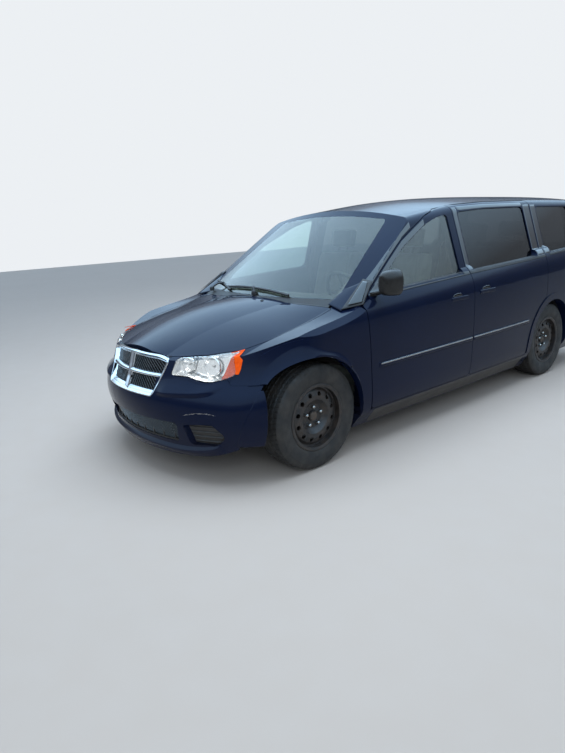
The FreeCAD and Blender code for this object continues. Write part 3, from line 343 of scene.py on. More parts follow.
def sideForm(along, up):
    half, belt, rail = (np.array(sideShape[key]).T for key in ("half", "belt", "rail"))
    lower = np.interp(up, *half) - (along - sideShape["widest"]) ** 2 / sideShape["bow"]
    climb = (up - sideShape["beltUp"]) / (np.interp(along, *rail) - sideShape["beltUp"])
    upper = np.interp(along, *belt) - sideShape["lean"] * climb
    return np.where(up > sideShape["split"], upper, lower)


# Building pieces
# Each net is (points in rows and columns, rows close up, columns close up). Edges
# that turn by more than the angle stay sharp.
sharpAngle = math.radians(38)


def makePiece(name, nets, look, body, mirror=False):
    points, quads, count = [], [], 0
    if mirror:
        nets = [(net * (-1, 1, 1), wrapRows, wrapColumns) for net, wrapRows, wrapColumns in nets]
    for net, wrapRows, wrapColumns in nets:
        rows, columns = net.shape[:2]
        index = np.arange(rows * columns).reshape(rows, columns) + count
        if wrapRows:
            index = np.vstack([index, index[:1]])
        if wrapColumns:
            index = np.hstack([index, index[:, :1]])
        cells = np.stack([index[:-1, :-1], index[1:, :-1], index[1:, 1:], index[:-1, 1:]], -1)
        quads.append(cells.reshape(-1, 4))
        points.append(net.reshape(-1, 3))
        count += rows * columns
    mesh = bpy.data.meshes.new(name)
    mesh.from_pydata((np.concatenate(points) + centrePlane).tolist(), [], np.concatenate(quads).tolist())
    shape = bmesh.new()
    shape.from_mesh(mesh)
    bmesh.ops.remove_doubles(shape, verts=shape.verts, dist=2e-6)
    bmesh.ops.recalc_face_normals(shape, faces=shape.faces)
    shape.to_mesh(mesh)
    shape.free()
    mesh.shade_smooth()
    mesh.set_sharp_from_angle(angle=sharpAngle)
    mesh.materials.append(materials[look])
    piece = bpy.data.objects.new(name, mesh)
    bpy.context.scene.collection.objects.link(piece)
    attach(piece, body)
    return piece


# A sheet gets its thickness inward from the surface that shows
def giveThickness(piece, thickness):
    modifier = piece.modifiers.new("thickness", "SOLIDIFY")
    modifier.thickness = thickness
    modifier.offset = -1


# A sheet of points that is open all round
def sheetOf(*coordinates):
    return np.stack(np.broadcast_arrays(*coordinates), -1), False, False


# A closed ring of points carried along, each end drawn in to its middle
def closed(rings):
    start = np.broadcast_to(rings[:1].mean(1, keepdims=True), rings[:1].shape)
    end = np.broadcast_to(rings[-1:].mean(1, keepdims=True), rings[-1:].shape)
    return np.concatenate([start, rings, end]), False, True


# A ring of points about a rounded bar: half width, half height, corner radius
def barRing(wide, high, radius, steps=3):
    turn = np.linspace(0, math.pi / 2, steps + 1)
    corners = [(1, 1, 0), (-1, 1, 1), (-1, -1, 2), (1, -1, 3)]
    ring = []
    for signWide, signHigh, quarter in corners:
        angle = turn + quarter * math.pi / 2
        middle = (signWide * (wide - radius), signHigh * (high - radius))
        ring.append(np.stack([middle[0] + radius * np.cos(angle), middle[1] + radius * np.sin(angle)], -1))
    return np.concatenate(ring)


# A ring carried along a path, square to it. The lift direction stays as given.
def swept(path, ring, lift):
    path = np.asarray(path, float)
    ahead = np.gradient(path, axis=0)
    ahead /= np.linalg.norm(ahead, axis=1, keepdims=True)
    across = np.cross(ahead, np.asarray(lift, float))
    across /= np.linalg.norm(across, axis=1, keepdims=True)
    upward = np.cross(across, ahead)
    return closed(path[:, None] + ring[None, :, :1] * across[:, None] + ring[None, :, 1:] * upward[:, None])


# A profile of (radius, distance along the axis) turned about the axis
def turned(profile, centre, axis, steps):
    profile = np.asarray(profile, float)
    axis = np.asarray(axis, float) / np.linalg.norm(axis)
    spare = np.array((0, 0, 1.0)) if abs(axis[2]) < 0.9 else np.array((0, 1.0, 0))
    side = np.cross(axis, spare)
    side /= np.linalg.norm(side)
    lift = np.cross(axis, side)
    angle = np.linspace(0, 2 * math.pi, steps, endpoint=False)
    spoke = np.cos(angle)[:, None] * side + np.sin(angle)[:, None] * lift
    net = np.asarray(centre) + profile[None, :, :1] * spoke[:, None] + profile[None, :, 1:] * axis
    return net, True, False


# A smooth curve through (place, value, value ...) rows, read at many places
def through(table, places):
    table = np.asarray(table, float)
    knots, values = table[:, 0], table[:, 1:]
    slopes = np.gradient(values, knots, axis=0)
    cell = np.clip(np.searchsorted(knots, places, side="right") - 1, 0, len(knots) - 2)
    span = (knots[cell + 1] - knots[cell])[..., None]
    t = (places - knots[cell])[..., None] / span
    low, high = values[cell], values[cell + 1]
    smooth = low * (1 + 2 * t) * (1 - t) ** 2 + slopes[cell] * span * t * (1 - t) ** 2
    return smooth + high * t ** 2 * (3 - 2 * t) - slopes[cell + 1] * span * t ** 2 * (1 - t)


# From 0 at the low value to 1 at the high one, flat at both ends
def ease(value, low, high):
    share = np.clip((value - low) / (high - low), 0, 1)
    return share * share * (3 - 2 * share)


# Strips and panels on the body's sides
sides = (("Left", "left", False), ("Right", "right", True))


stripEnd = {"long": 0.01, "least": 0.25}
panelEdge = {"roll": 0.006, "sink": 0.002}


# A strip follows a line of (station, level). Its ring of (rise, stand-off) is laid
# on the CAD surface, so the strip bends with the body and stands off it, and it
# thins towards its ends.
def sideStrip(look, triangles):
    alongs = np.linspace(look["line"][0][0], look["line"][-1][0], look["steps"])
    ups = through(look["line"], alongs)[:, 0]
    ring = barRing(look["high"] / 2, look["thick"], look["round"])
    level = ups[:, None] + ring[None, :, 0]
    station = np.broadcast_to(alongs[:, None], level.shape)
    skin = touch(triangles, 0, 1, yOf(station), level, sideForm(station, level))
    toEnd = np.minimum(alongs - alongs[0], alongs[-1] - alongs)
    taper = np.minimum(1, toEnd / stripEnd["long"] + stripEnd["least"])[:, None]
    return closed(np.stack([skin + ring[None, :, 1] * taper, yOf(station), level], -1))


# A panel fills the space between a low and a high line of (station, level). It stands
# off the skin by its thickness, and its edges roll down into it by a quarter circle.
def sidePanel(look, triangles):
    alongs = np.linspace(look["from"], look["to"], look["steps"])
    share = np.linspace(0, 1, look["rows"])[:, None]
    low = np.interp(alongs, *zip(*look["low"]))
    high = np.interp(alongs, *zip(*look["high"]))
    level = low + (high - low) * share
    station = np.broadcast_to(alongs, level.shape)
    skin = touch(triangles, 0, 1, yOf(station), level, sideForm(station, level))
    toEnd = np.minimum(alongs - alongs[0], alongs[-1] - alongs)
    reach = np.clip(np.minimum(toEnd, np.minimum(level - low, high - level)) / panelEdge["roll"], 0, 1)
    stand = look["thick"] * np.sqrt(np.clip(1 - (1 - reach) ** 2, 0, 1)) - panelEdge["sink"]
    return sheetOf(skin + stand, yOf(station), level)


leftSkin = trianglesOf("body_side_left", "front_door_left", "sliding_doors", "fenders", "rear_bumper")
doorEnd, sliderStart, sliderEnd = 2.631, 2.642, 3.869
strips = {
    "sideMoulding": {"look": "paint", "high": 0.040, "thick": 0.0055, "round": 0.008, "steps": 60, "runs": {
        "front_door_{}": [(1.50, 0.598), (2.0, 0.600), (doorEnd, 0.602)],
        "body": [(sliderStart, 0.602), (3.0, 0.603), (3.56, 0.606)]}},
    "mouldingInsert": {"look": "satinTrim", "high": 0.012, "thick": 0.0070, "round": 0.004, "steps": 60,
                       "runs": {
        "front_door_{}": [(1.505, 0.605), (2.0, 0.607), (doorEnd - 0.002, 0.609)],
        "body": [(sliderStart + 0.002, 0.609), (3.0, 0.610), (3.555, 0.613)]}},
    "beltTrim": {"look": "blackPlastic", "high": 0.024, "thick": 0.006, "round": 0.005, "steps": 70, "runs": {
        "front_door_{}": [(1.60, 1.070), (1.70, 1.076), (2.1, 1.097), (2.56, 1.118), (doorEnd, 1.121)],
        "body": [(sliderStart, 1.122), (3.1, 1.138), (3.5, 1.152), (sliderEnd, 1.166)]}},
    "rearBeltTrim": {"look": "blackPlastic", "high": 0.020, "thick": 0.005, "round": 0.004, "steps": 40,
                     "runs": {
        "body": [(3.96, 1.172), (4.3, 1.186), (4.72, 1.200)]}},
}
for stripName, strip in strips.items():
    for sideName, side, mirror in sides:
        for runBody, line in strip["runs"].items():
            run = {**strip, "line": line}
            pieceName = stripName + runBody.split("_")[0].capitalize() + sideName
            makePiece(pieceName, [sideStrip(run, leftSkin)], strip["look"], runBody.format(side), mirror)

panels = {
    "sliderFrontPost": {"body": "body", "from": 2.643, "to": 2.704, "steps": 10, "rows": 40, "thick": 0.0035,
                        "low": [(2.6, 1.128), (2.8, 1.134)], "high": [(2.6, 1.628), (2.8, 1.632)]},
    "quarterPost": {"body": "body", "from": 3.882, "to": 3.983, "steps": 14, "rows": 40, "thick": 0.0035,
                    "low": [(3.8, 1.172), (4.0, 1.178)], "high": [(3.8, 1.628), (4.0, 1.626)]},
    "sliderRearPost": {"body": "body", "from": 3.746, "to": 3.866, "steps": 16, "rows": 40, "thick": 0.0035,
                       "low": [(3.7, 1.168), (3.87, 1.174)], "high": [(3.7, 1.628), (3.87, 1.630)]},
    "sliderTopRail": {"body": "body", "from": 2.706, "to": 3.744, "steps": 60, "rows": 8, "thick": 0.0035,
                      "low": [(2.7, 1.592), (3.1, 1.607), (3.75, 1.608)],
                      "high": [(2.7, 1.628), (3.1, 1.640), (3.75, 1.642)]},
    "pillarGlassEdge": {"body": "body", "from": 1.50, "to": 2.10, "steps": 60, "rows": 10, "thick": 0.0030,
                        "low": [(1.50, 1.106), (1.643, 1.205), (1.786, 1.301), (1.963, 1.415), (2.10, 1.482)],
                        "high": [(1.50, 1.137), (1.643, 1.234), (1.786, 1.333), (1.963, 1.455),
                                 (2.10, 1.535)]},
    "doorGlassEdge": {"body": "front_door_{}", "from": 1.56, "to": 2.27, "steps": 70, "rows": 12,
                      "thick": 0.0030,
                      "low": [(1.56, 1.072), (1.606, 1.074), (1.66, 1.152), (1.95, 1.345), (2.27, 1.498)],
                      "high": [(1.56, 1.136), (1.643, 1.192), (1.786, 1.288), (1.963, 1.402),
                               (2.10, 1.468), (2.27, 1.548)]},
    # The handle cups are thin gloss black sheets over the front door handle recesses: painted shade standing
    # for the shade inside each recess.
    "handleCupPaintedShade": {"body": "front_door_{}", "from": 2.340, "to": 2.464, "steps": 30, "rows": 12,
                  "thick": 0.0034,
                  "low": [(2.340, 0.9618), (2.464, 0.9618)],
                  "high": [(2.340, 0.966), (2.357, 0.980), (2.402, 0.988), (2.447, 0.985), (2.464, 0.968)]},
    # Gloss black sheet over the sliding door's handle recess: painted shade standing for the shade inside it.
    "sliderHandleCupPaintedShade": {"body": "body", "from": 2.745, "to": 2.869, "steps": 30, "rows": 12, "thick": 0.0034,
                        "low": [(2.745, 0.9798), (2.869, 0.9798)],
                        "high": [(2.745, 0.984), (2.762, 0.998), (2.81, 1.006), (2.852, 1.003),
                                 (2.869, 0.986)]},
    "mirrorSail": {"body": "front_door_{}", "from": 1.475, "to": 1.604, "steps": 20, "rows": 14,
                   "thick": 0.004,
                   "low": [(1.47, 1.060), (1.61, 1.074)], "high": [(1.47, 1.070), (1.61, 1.158)]},
}
# All panels are gloss black; on the two handle cups that black is painted shade.
for panelName, panel in panels.items():
    for sideName, side, mirror in sides:
        rider = panel["body"].format(side)
        makePiece(panelName + sideName, [sidePanel(panel, leftSkin)], "glossBlack", rider, mirror)

# A black strip along the sill below the doors: painted shade, standing for the body-colour sill lying in
# shadow.
sill = {"from": 1.47, "to": 3.56, "steps": 90, "rows": 14, "thick": 0.004,
        "low": [(1.4, 0.168), (3.6, 0.168)], "high": [(1.4, 0.282), (3.6, 0.282)]}
for sideName, side, mirror in sides:
    makePiece("sillPaintedShade" + sideName, [sidePanel(sill, leftSkin)], "blackPlastic", "body", mirror)

# The raised band over the front wheel. Angles run round the arch's centre, from the
# front seam to the rear foot: the outer radius comes from a table, the inner one is
# the arch's. The band rises from the fender to the arch by a power of the share
# across it, and rolls in there.
flare = {"centre": (0.887, 0.295), "arch": 0.4695, "outerTurn": (134.5, -2.0), "innerTurn": (131.0, -2.0),
         "proud": 0.020, "sink": 0.0015, "power": 1.7, "fade": 0.75, "fadeFrom": 0.55, "widest": 0.9985,
         "roll": 0.018, "rollSag": 0.006, "rollRows": 7, "steps": 120, "rows": 24,
         "outer": [(-2, 0.480), (25, 0.488), (45, 0.500), (63, 0.522), (78, 0.518), (86, 0.540), (92, 0.566),
                   (98, 0.574), (108, 0.562), (117, 0.541), (130, 0.505), (134.5, 0.4965)]}


# The stations and levels of a curve round the arch's centre, by angle and radius
def archCurve(turn, share, radiusAt):
    degrees = turn[0] + (turn[1] - turn[0]) * share
    radius, angle = radiusAt(degrees), np.radians(degrees)
    return flare["centre"][0] + radius * np.cos(angle), flare["centre"][1] + radius * np.sin(angle)


def flareNet(look):
    share = np.linspace(0, 1, look["steps"])
    outerEdge = archCurve(look["outerTurn"], share, lambda degrees: through(look["outer"], degrees)[:, 0])
    innerEdge = archCurve(look["innerTurn"], share, lambda degrees: look["arch"])
    across = np.linspace(0, 1, look["rows"])[:, None]
    station, level = (outer + (inner - outer) * across for outer, inner in zip(outerEdge, innerEdge))
    skin = touch(leftSkin, 0, 1, yOf(station), level, sideForm(station, level))
    swell = across ** look["power"] * (1 - look["fade"] * ease(share, look["fadeFrom"], 1))
    stand = (look["proud"] + look["sink"]) * swell - look["sink"]
    band = np.stack([np.minimum(skin + stand, look["widest"]), yOf(station), level], -1)
    turn = np.linspace(0, 1, look["rollRows"])[1:, None, None]
    sag = (1 - turn) * turn * np.array((0, 0, look["rollSag"]))
    rolled = band[-1:] - turn * np.array((look["roll"], 0, 0)) - sag
    return np.concatenate([band, rolled]), False, False


# The bumper's rear corner goes on from its CAD edge, on the same slope easing off
corner = {"low": 0.270, "high": 0.614, "rows": 50, "columns": 20, "arch": 0.468, "start": 0.008,
          "back": 0.030, "least": 0.004, "easing": 0.25, "stand": 0.0006, "thick": 0.004,
          "edge": [(0.27, 0.537), (0.45, 0.548), (0.63, 0.559)]}
cornerSkin = trianglesOf("front_bumper")


def cornerNet(look):
    level = np.linspace(look["low"], look["high"], look["rows"])[:, None]
    toArch = np.sqrt(look["arch"] ** 2 - (level - flare["centre"][1]) ** 2)
    first = flare["centre"][0] - toArch - look["start"]
    last = np.maximum(np.interp(level, *zip(*look["edge"])), first + look["least"])
    share = np.linspace(0, 1, look["columns"])
    near = touch(cornerSkin, 0, 1, yOf(first), level, 0.85)
    far = touch(cornerSkin, 0, 1, yOf(first - look["back"]), level, 0.82)
    station = first + (last - first) * share
    slope = (near - far) / look["back"]
    out = near + slope * (station - first) * (1 - look["easing"] * share) + look["stand"]
    return sheetOf(out, yOf(station), level)


# A four-cornered sheet between given corners, bulging by a product of parabolas. Each
# corner is (out, station, level).
def cornerSheet(corners, bulge, steps=16):
    first, second, third, fourth = (np.array((out, yOf(along), up)) for out, along, up in corners)
    down = np.linspace(0, 1, steps)[:, None, None]
    across = np.linspace(0, 1, steps)[None, :, None]
    top = first * (1 - across) + second * across
    foot = fourth * (1 - across) + third * across
    flat = top * (1 - down) + foot * down
    facing = np.cross(second - first, fourth - first)
    facing /= np.linalg.norm(facing) * (1 if facing[0] > 0 else -1)
    return flat + facing * bulge * 16 * down * (1 - down) * across * (1 - across), False, False


sheets = {
    "pillarFoot": {"look": "paint", "bulge": 0.004, "thick": 0.004, "corners": [
        (0.722, 1.285, 1.022), (0.742, 1.425, 1.108), (0.826, 1.520, 1.154), (0.872, 1.255, 0.992)]},
    "quarterFrame": {"look": "blackPlastic", "bulge": 0.003, "thick": 0.005, "corners": [
        (0.866, 1.262, 1.001), (0.812, 1.535, 1.172), (0.886, 1.545, 1.160), (0.946, 1.392, 1.026)]},
    "quarterGlass": {"look": "glossBlack", "bulge": 0.003, "thick": 0.002, "corners": [
        (0.886, 1.302, 1.026), (0.833, 1.510, 1.161), (0.868, 1.516, 1.156), (0.936, 1.388, 1.040)]},
}
for sideName, side, mirror in sides:
    makePiece("archFlare" + sideName, [flareNet(flare)], "paint", "body", mirror)
    cornerPiece = makePiece("bumperCorner" + sideName, [cornerNet(corner)], "paint", "body", mirror)
    giveThickness(cornerPiece, corner["thick"])
    for sheetName, sheet in sheets.items():
        sheetNet = cornerSheet(sheet["corners"], sheet["bulge"])
        sheetPiece = makePiece(sheetName + sideName, [sheetNet], sheet["look"], "body", mirror)
        giveThickness(sheetPiece, sheet["thick"])
print("side trim ready")

# Wheels
frontAxle, rearAxle, wheelUp = yOf(0.960), yOf(4.038), 0.3495
tyre = {"radius": 0.3490, "treadHalf": 0.092, "crown": 0.0045, "pitches": 64, "perPitch": 6,
        "treadColumns": 58, "groove": 0.0065, "grooves": (-0.058, -0.020, 0.020, 0.058),
        "grooveHalf": 0.0048, "grooveEdge": 0.0012, "slot": 0.0055, "slotHalf": (0.10, 0.19),
        "slant": 9, "shoulder": (0.064, 0.068), "cut": 0.0035,
        "middleCut": (0.013, 0.016), "sideCut": ((0.026, 0.029), (0.050, 0.053)), "sideRows": 26,
        "beads": ((0.0016, 0.228, 0.240, 0.004), (0.0014, 0.300, 0.309, 0.003)),
        "rib": 0.0012, "ribFrom": (0.318, 0.326), "ribHalf": (0.16, 0.24),
        "side": [(0.0, 0.2065, 0.0915), (0.12, 0.222, 0.0975), (0.30, 0.250, 0.1075), (0.5, 0.284, 0.1118),
                 (0.68, 0.312, 0.1095), (0.84, 0.3335, 0.1025), (1.0, 0.3445, 0.0925)]}


# Radius as a function of the place across and round the tyre: a slightly crowned
# tread with four grooves round it, slots across the shoulders and fine cuts between.
# The side has two raised rings, each given by its rise, first and last radius and
# flank, and a row of ribs near the tread.
def tyreNet(look):
    steps = look["pitches"] * look["perPitch"]
    angle = np.linspace(0, 2 * math.pi, steps, endpoint=False)[:, None]
    radius, out = through(look["side"], np.linspace(0, 1, look["sideRows"])).T
    for rise, first, last, flank in look["beads"]:
        out = out + rise * (ease(radius, first, first + flank) - ease(radius, last - flank, last))
    across = np.linspace(-look["treadHalf"], look["treadHalf"], look["treadColumns"])
    crown = look["radius"] - look["crown"] * (across / look["treadHalf"]) ** 4
    pitch = angle * look["pitches"] / (2 * math.pi)
    depth = 0 * pitch * across
    inner, outer = look["grooveHalf"] - look["grooveEdge"], look["grooveHalf"] + look["grooveEdge"]
    for middle in look["grooves"]:
        depth = depth + (1 - ease(np.abs(across - middle), inner, outer)) * look["groove"]
    phase = (pitch + across * look["slant"]) % 1.0
    slot = 1 - ease(np.abs(phase - 0.5), *look["slotHalf"])
    shoulder = ease(np.abs(across), *look["shoulder"])
    start, stop = look["sideCut"]
    sideCut = ease(np.abs(across), *start) * (1 - ease(np.abs(across), *stop))
    fineCut = (1 - ease(np.abs(across), *look["middleCut"])) + sideCut
    cut = np.maximum(slot * shoulder * look["slot"], slot * fineCut * look["cut"])
    treadRadius = crown - np.maximum(depth, cut)
    ribShare = 1 - ease(np.abs((pitch % 1.0) - 0.5), *look["ribHalf"])
    rib = look["rib"] * ease(radius, *look["ribFrom"]) * ribShare
    leftOut = np.broadcast_to(out, (steps, len(out))) + rib
    treadOut = np.broadcast_to(across[::-1], treadRadius.shape)
    profileOut = np.concatenate([leftOut, treadOut, -leftOut[:, ::-1]], 1)
    radii = np.broadcast_to(radius, (steps, len(radius)))
    profileRadius = np.concatenate([radii, treadRadius[:, ::-1], radii[:, ::-1]], 1)
    net = np.stack([profileOut, profileRadius * np.cos(angle), profileRadius * np.sin(angle)], -1)
    return net, True, True


wheels = {
    "FrontLeft": {"node": "front_left", "out": 0.833, "along": frontAxle},
    "FrontRight": {"node": "front_right", "out": -0.833, "along": frontAxle},
    "RearLeft": {"node": "rear_left", "out": 0.823, "along": rearAxle},
    "RearRight": {"node": "rear_right", "out": -0.823, "along": rearAxle},
}
lugNut = {"count": 5, "circle": 0.0635,
          "profile": [(0.0, 0.0735), (0.0045, 0.0735), (0.0085, 0.0715), (0.0112, 0.0665), (0.0122, 0.0605),
                      (0.0122, 0.0470), (0.0, 0.0470)]}
capProfile = [(0.0, 0.0640), (0.020, 0.0640), (0.0275, 0.0620), (0.0300, 0.0570), (0.0300, 0.0500),
              (0.0, 0.0500)]
valveStem = {"out": 0.070, "circle": 0.176, "turn": 0.9, "long": 0.036, "slope": (0.8, -0.35, -0.45),
             "half": 0.0042, "round": 0.0041}
treadNet = tyreNet(tyre)
for wheelName, wheel in wheels.items():
    sign = 1 if wheel["out"] > 0 else -1
    centre = np.array((wheel["out"], wheel["along"], wheelUp))
    body = "wheel_" + wheel["node"]
    net = (treadNet[0] * (sign, 1, 1) + centre, True, True)
    rubber = makePiece("tyre" + wheelName, [net], "rubber", body)
    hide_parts("tyre_" + wheel["node"])
    nuts = []
    for index in range(lugNut["count"]):
        angle = math.radians(90 + 360 / lugNut["count"] * index)
        place = centre + (0, lugNut["circle"] * math.cos(angle), lugNut["circle"] * math.sin(angle))
        nuts.append(turned(lugNut["profile"], place, (sign, 0, 0), 6))
    makePiece("lugNuts" + wheelName, nuts, "nutSteel", body)
    makePiece("hubCap" + wheelName, [turned(capProfile, centre, (sign, 0, 0), 40)], "castMetal", body)
    radial = valveStem["circle"] * np.array((0, math.cos(valveStem["turn"]), math.sin(valveStem["turn"])))
    stemStart = centre + (sign * valveStem["out"], 0, 0) + radial
    slope = valveStem["slope"] * np.array((sign, 1, 1))
    stemLine = stemStart + np.linspace(0, valveStem["long"], 6)[:, None] * slope
    stemRing = barRing(valveStem["half"], valveStem["half"], valveStem["round"])
    makePiece("valveStem" + wheelName, [swept(stemLine, stemRing, (0, 0.3, 1))], "blackPlastic", body)
print("wheels ready")

# Grille
# The surround follows the opening's outline: (across, up, corner radius) from the front.
# Its section is (inward, back).
grille = {"corners": [(-0.300, 0.551, 0.034), (0.300, 0.551, 0.034), (0.373, 0.776, 0.022),
                      (0.288, 0.799, 0.3), (0, 0.806, 1.4), (-0.288, 0.799, 0.3), (-0.373, 0.776, 0.022)],
          "section": [(0.000, 0.024), (0.0000, 0.002), (0.0012, -0.0008), (0.0035, -0.0016),
                      (0.0075, -0.0010), (0.0092, 0.0010), (0.0120, 0.0040), (0.0180, 0.0095),
                      (0.0192, 0.0120), (0.0205, 0.0110), (0.0225, 0.0120), (0.0325, 0.0250),
                      (0.0350, 0.0310), (0.0345, 0.0350), (0.0300, 0.0350)],
          "low": 0.580, "high": 0.796, "lowHalf": 0.290, "highHalf": 0.352, "spacing": 0.021, "behind": 0.030,
          "wire": (0.0028, 0.0040)}
grilleCross = {"up": 0.676, "reach": 0.322, "levelDepth": 0.012, "levelHalf": 0.0145, "levelRise": 0.009,
               "low": 0.574, "high": 0.796, "uprightDepth": 0.010, "uprightHalf": 0.0200,
               "uprightRise": 0.012}
grilleBack = {"lowGap": 0.012, "highGap": 0.004, "depth": 0.046, "thick": 0.003,
              "half": [(0.55, 0.285), (0.80, 0.352)]}
wireSlant = {"slope": 1.25, "reach": 0.70, "pitch": 1.28, "apart": 0.004, "least": 25, "steps": 14}
nose = {"middle": [(0.165, 0.165), (0.26, 0.150), (0.40, 0.101), (0.56, 0.099), (0.64, 0.132), (0.72, 0.158),
                   (0.86, 0.200)],
        "bow": [(0.165, 1.45), (0.40, 1.30), (0.56, 1.23), (0.64, 1.12), (0.72, 1.04)], "widest": 0.9}


# How far ahead the nose lies: its middle leans back with height, and it bows across by
# a circle arc whose radius also goes with height
def noseFront(out, up):
    middle = np.interp(up, *zip(*nose["middle"]))
    bow = np.interp(up, *zip(*nose["bow"]))
    return yOf(middle + bow - np.sqrt(bow ** 2 - np.minimum(np.abs(out), nose["widest"]) ** 2))


# A closed line through corners, each rounded by an arc of its own radius
def roundedLoop(corners, arcSteps=9):
    corners = np.asarray(corners, float)
    spots, radii = corners[:, :2], corners[:, 2]
    before = np.roll(spots, 1, 0) - spots
    after = np.roll(spots, -1, 0) - spots
    before /= np.linalg.norm(before, axis=1, keepdims=True)
    after /= np.linalg.norm(after, axis=1, keepdims=True)
    half = np.arccos(np.clip((before * after).sum(1), -1, 1)) / 2
    middle = before + after
    middle /= np.maximum(np.linalg.norm(middle, axis=1, keepdims=True), 1e-9)
    centre = spots + middle * (radii / np.sin(half))[:, None]
    start = spots + before * (radii / np.tan(half))[:, None] - centre
    end = spots + after * (radii / np.tan(half))[:, None] - centre
    sweep = (math.pi - 2 * half)[:, None, None]
    share = np.linspace(0, 1, arcSteps)[None, :, None]
    fromStart = np.sin((1 - share) * sweep) * start[:, None]
    arcs = (fromStart + np.sin(share * sweep) * end[:, None]) / np.sin(sweep)
    return (centre[:, None] + arcs).reshape(-1, 2)


# Points evenly spaced along a closed line
def evenLoop(line, steps):
    ring = np.vstack([line, line[:1]])
    length = np.concatenate([[0], np.cumsum(np.linalg.norm(np.diff(ring, axis=0), axis=1))])
    places = np.linspace(0, length[-1], steps, endpoint=False)
    return np.stack([np.interp(places, length, ring[:, axis]) for axis in (0, 1)], -1)


# The section lies square to the outline: inward across the nose, and back from it
def surroundNet(look):
    loop = evenLoop(roundedLoop(look["corners"]), 220)
    ahead = np.roll(loop, -1, 0) - np.roll(loop, 1, 0)
    ahead /= np.linalg.norm(ahead, axis=1, keepdims=True)
    inward = np.stack([-ahead[:, 1], ahead[:, 0]], -1)
    if ((loop.mean(0) - loop) * inward).sum() < 0:
        inward = -inward
    section = np.asarray(look["section"])
    flat = loop[:, None] + inward[:, None] * section[None, :, :1]
    outs, ups = flat[..., 0], flat[..., 1]
    return np.stack([outs, noseFront(outs, ups) + section[None, :, 1], ups], -1), True, False


# Two families of slanting wires that cross, one a little behind the other, and fill
# the opening between its sloping sides
def latticeNets(look):
    nets = []
    ring = barRing(look["wire"][0], look["wire"][1], 0.0012, 1)
    height = look["high"] - look["low"]
    share = np.linspace(0, 1, 400)
    for slant in (wireSlant["slope"], -wireSlant["slope"]):
        for start in np.arange(-wireSlant["reach"], wireSlant["reach"], look["spacing"] * wireSlant["pitch"]):
            out = start + slant * (share - 0.5) * height
            up = look["low"] + share * height
            half = look["lowHalf"] + (look["highHalf"] - look["lowHalf"]) * share
            inside = np.abs(out) < half
            if inside.sum() < wireSlant["least"]:
                continue
            outs = np.linspace(out[inside][0], out[inside][-1], wireSlant["steps"])
            ups = np.linspace(up[inside][0], up[inside][-1], wireSlant["steps"])
            depth = look["behind"] + (wireSlant["apart"] if slant > 0 else 0.0)
            nets.append(swept(np.stack([outs, noseFront(outs, ups) + depth, ups], -1), ring, (0, -1, 0)))
    return nets


# The cross bars have a low ridge along the middle, with a fine step at each foot
def ridgeRing(half, rise):
    right = [(half, -0.020), (half, -0.002), (half - 0.0025, 0.0012), (half * 0.62, rise * 0.52),
             (half * 0.10, rise)]
    return np.array(right + [(-across, up) for across, up in reversed(right)])


surround = makePiece("grilleSurround", [surroundNet(grille)], "chrome", "body")
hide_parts("grille")
levelOut = np.linspace(-grilleCross["reach"], grilleCross["reach"], 60)
levelUp = grilleCross["up"] + 0 * levelOut
levelPath = np.stack([levelOut, noseFront(levelOut, levelUp) + grilleCross["levelDepth"], levelUp], -1)
uprightUp = np.linspace(grilleCross["low"], grilleCross["high"], 30)
uprightFront = noseFront(0.0, uprightUp) + grilleCross["uprightDepth"]
uprightPath = np.stack([0 * uprightUp, uprightFront, uprightUp], -1)
levelRing = ridgeRing(grilleCross["levelHalf"], grilleCross["levelRise"])
uprightRing = ridgeRing(grilleCross["uprightHalf"], grilleCross["uprightRise"])
crossNets = [swept(levelPath, levelRing, (0, -1, 0)), swept(uprightPath, uprightRing, (0, -1, 0))]
makePiece("grilleCross", crossNets, "chrome", "body")
makePiece("grilleLattice", latticeNets(grille), "glossBlack", "body")
backOut = np.linspace(-1, 1, 60)
backLow, backHigh = grille["low"] - grilleBack["lowGap"], grille["high"] - grilleBack["highGap"]
backUp = np.linspace(backLow, backHigh, 16)[:, None]
backOut = backOut * np.interp(backUp, *zip(*grilleBack["half"]))
backNet = sheetOf(backOut, noseFront(backOut, backUp) + grilleBack["depth"], backUp)
giveThickness(makePiece("grilleBacking", [backNet], "blackPlastic", "body"), grilleBack["thick"])
print("grille ready")

# Bumper forms, lower grille and pockets
bumperSkin = trianglesOf("front_bumper")


# A band that swells out of the bumper: its stand-off is nothing at its upper and
# lower edge and greatest at the crease, and it fades out towards its ends. Its edges
# lie a little under the skin.
def bumperBand(look):
    out = np.linspace(look["from"], look["to"], look["steps"])
    share = np.linspace(0, 1, look["rows"])[:, None]
    top = through(look["top"], np.abs(out))[:, 0]
    crease = through(look["crease"], np.abs(out))[:, 0]
    foot = through(look["foot"], np.abs(out))[:, 0]
    upper = share < look["split"]
    level = np.where(upper, top + (crease - top) * share / look["split"],
                     crease + (foot - crease) * (share - look["split"]) / (1 - look["split"]))
    place = np.where(upper, share / look["split"], (1 - share) / (1 - look["split"]))
    rise = np.where(upper, place ** look["topPower"], ease(place, 0, 1) ** look["footPower"])
    ends = ease(np.minimum(out - out[0], out[-1] - out), 0, look["fade"])
    outs = np.broadcast_to(out, level.shape)
    front = touch(bumperSkin, 1, -1, outs, level, noseFront(outs, level))
    return sheetOf(outs, front - look["proud"] * rise * ends + look["sink"], level)


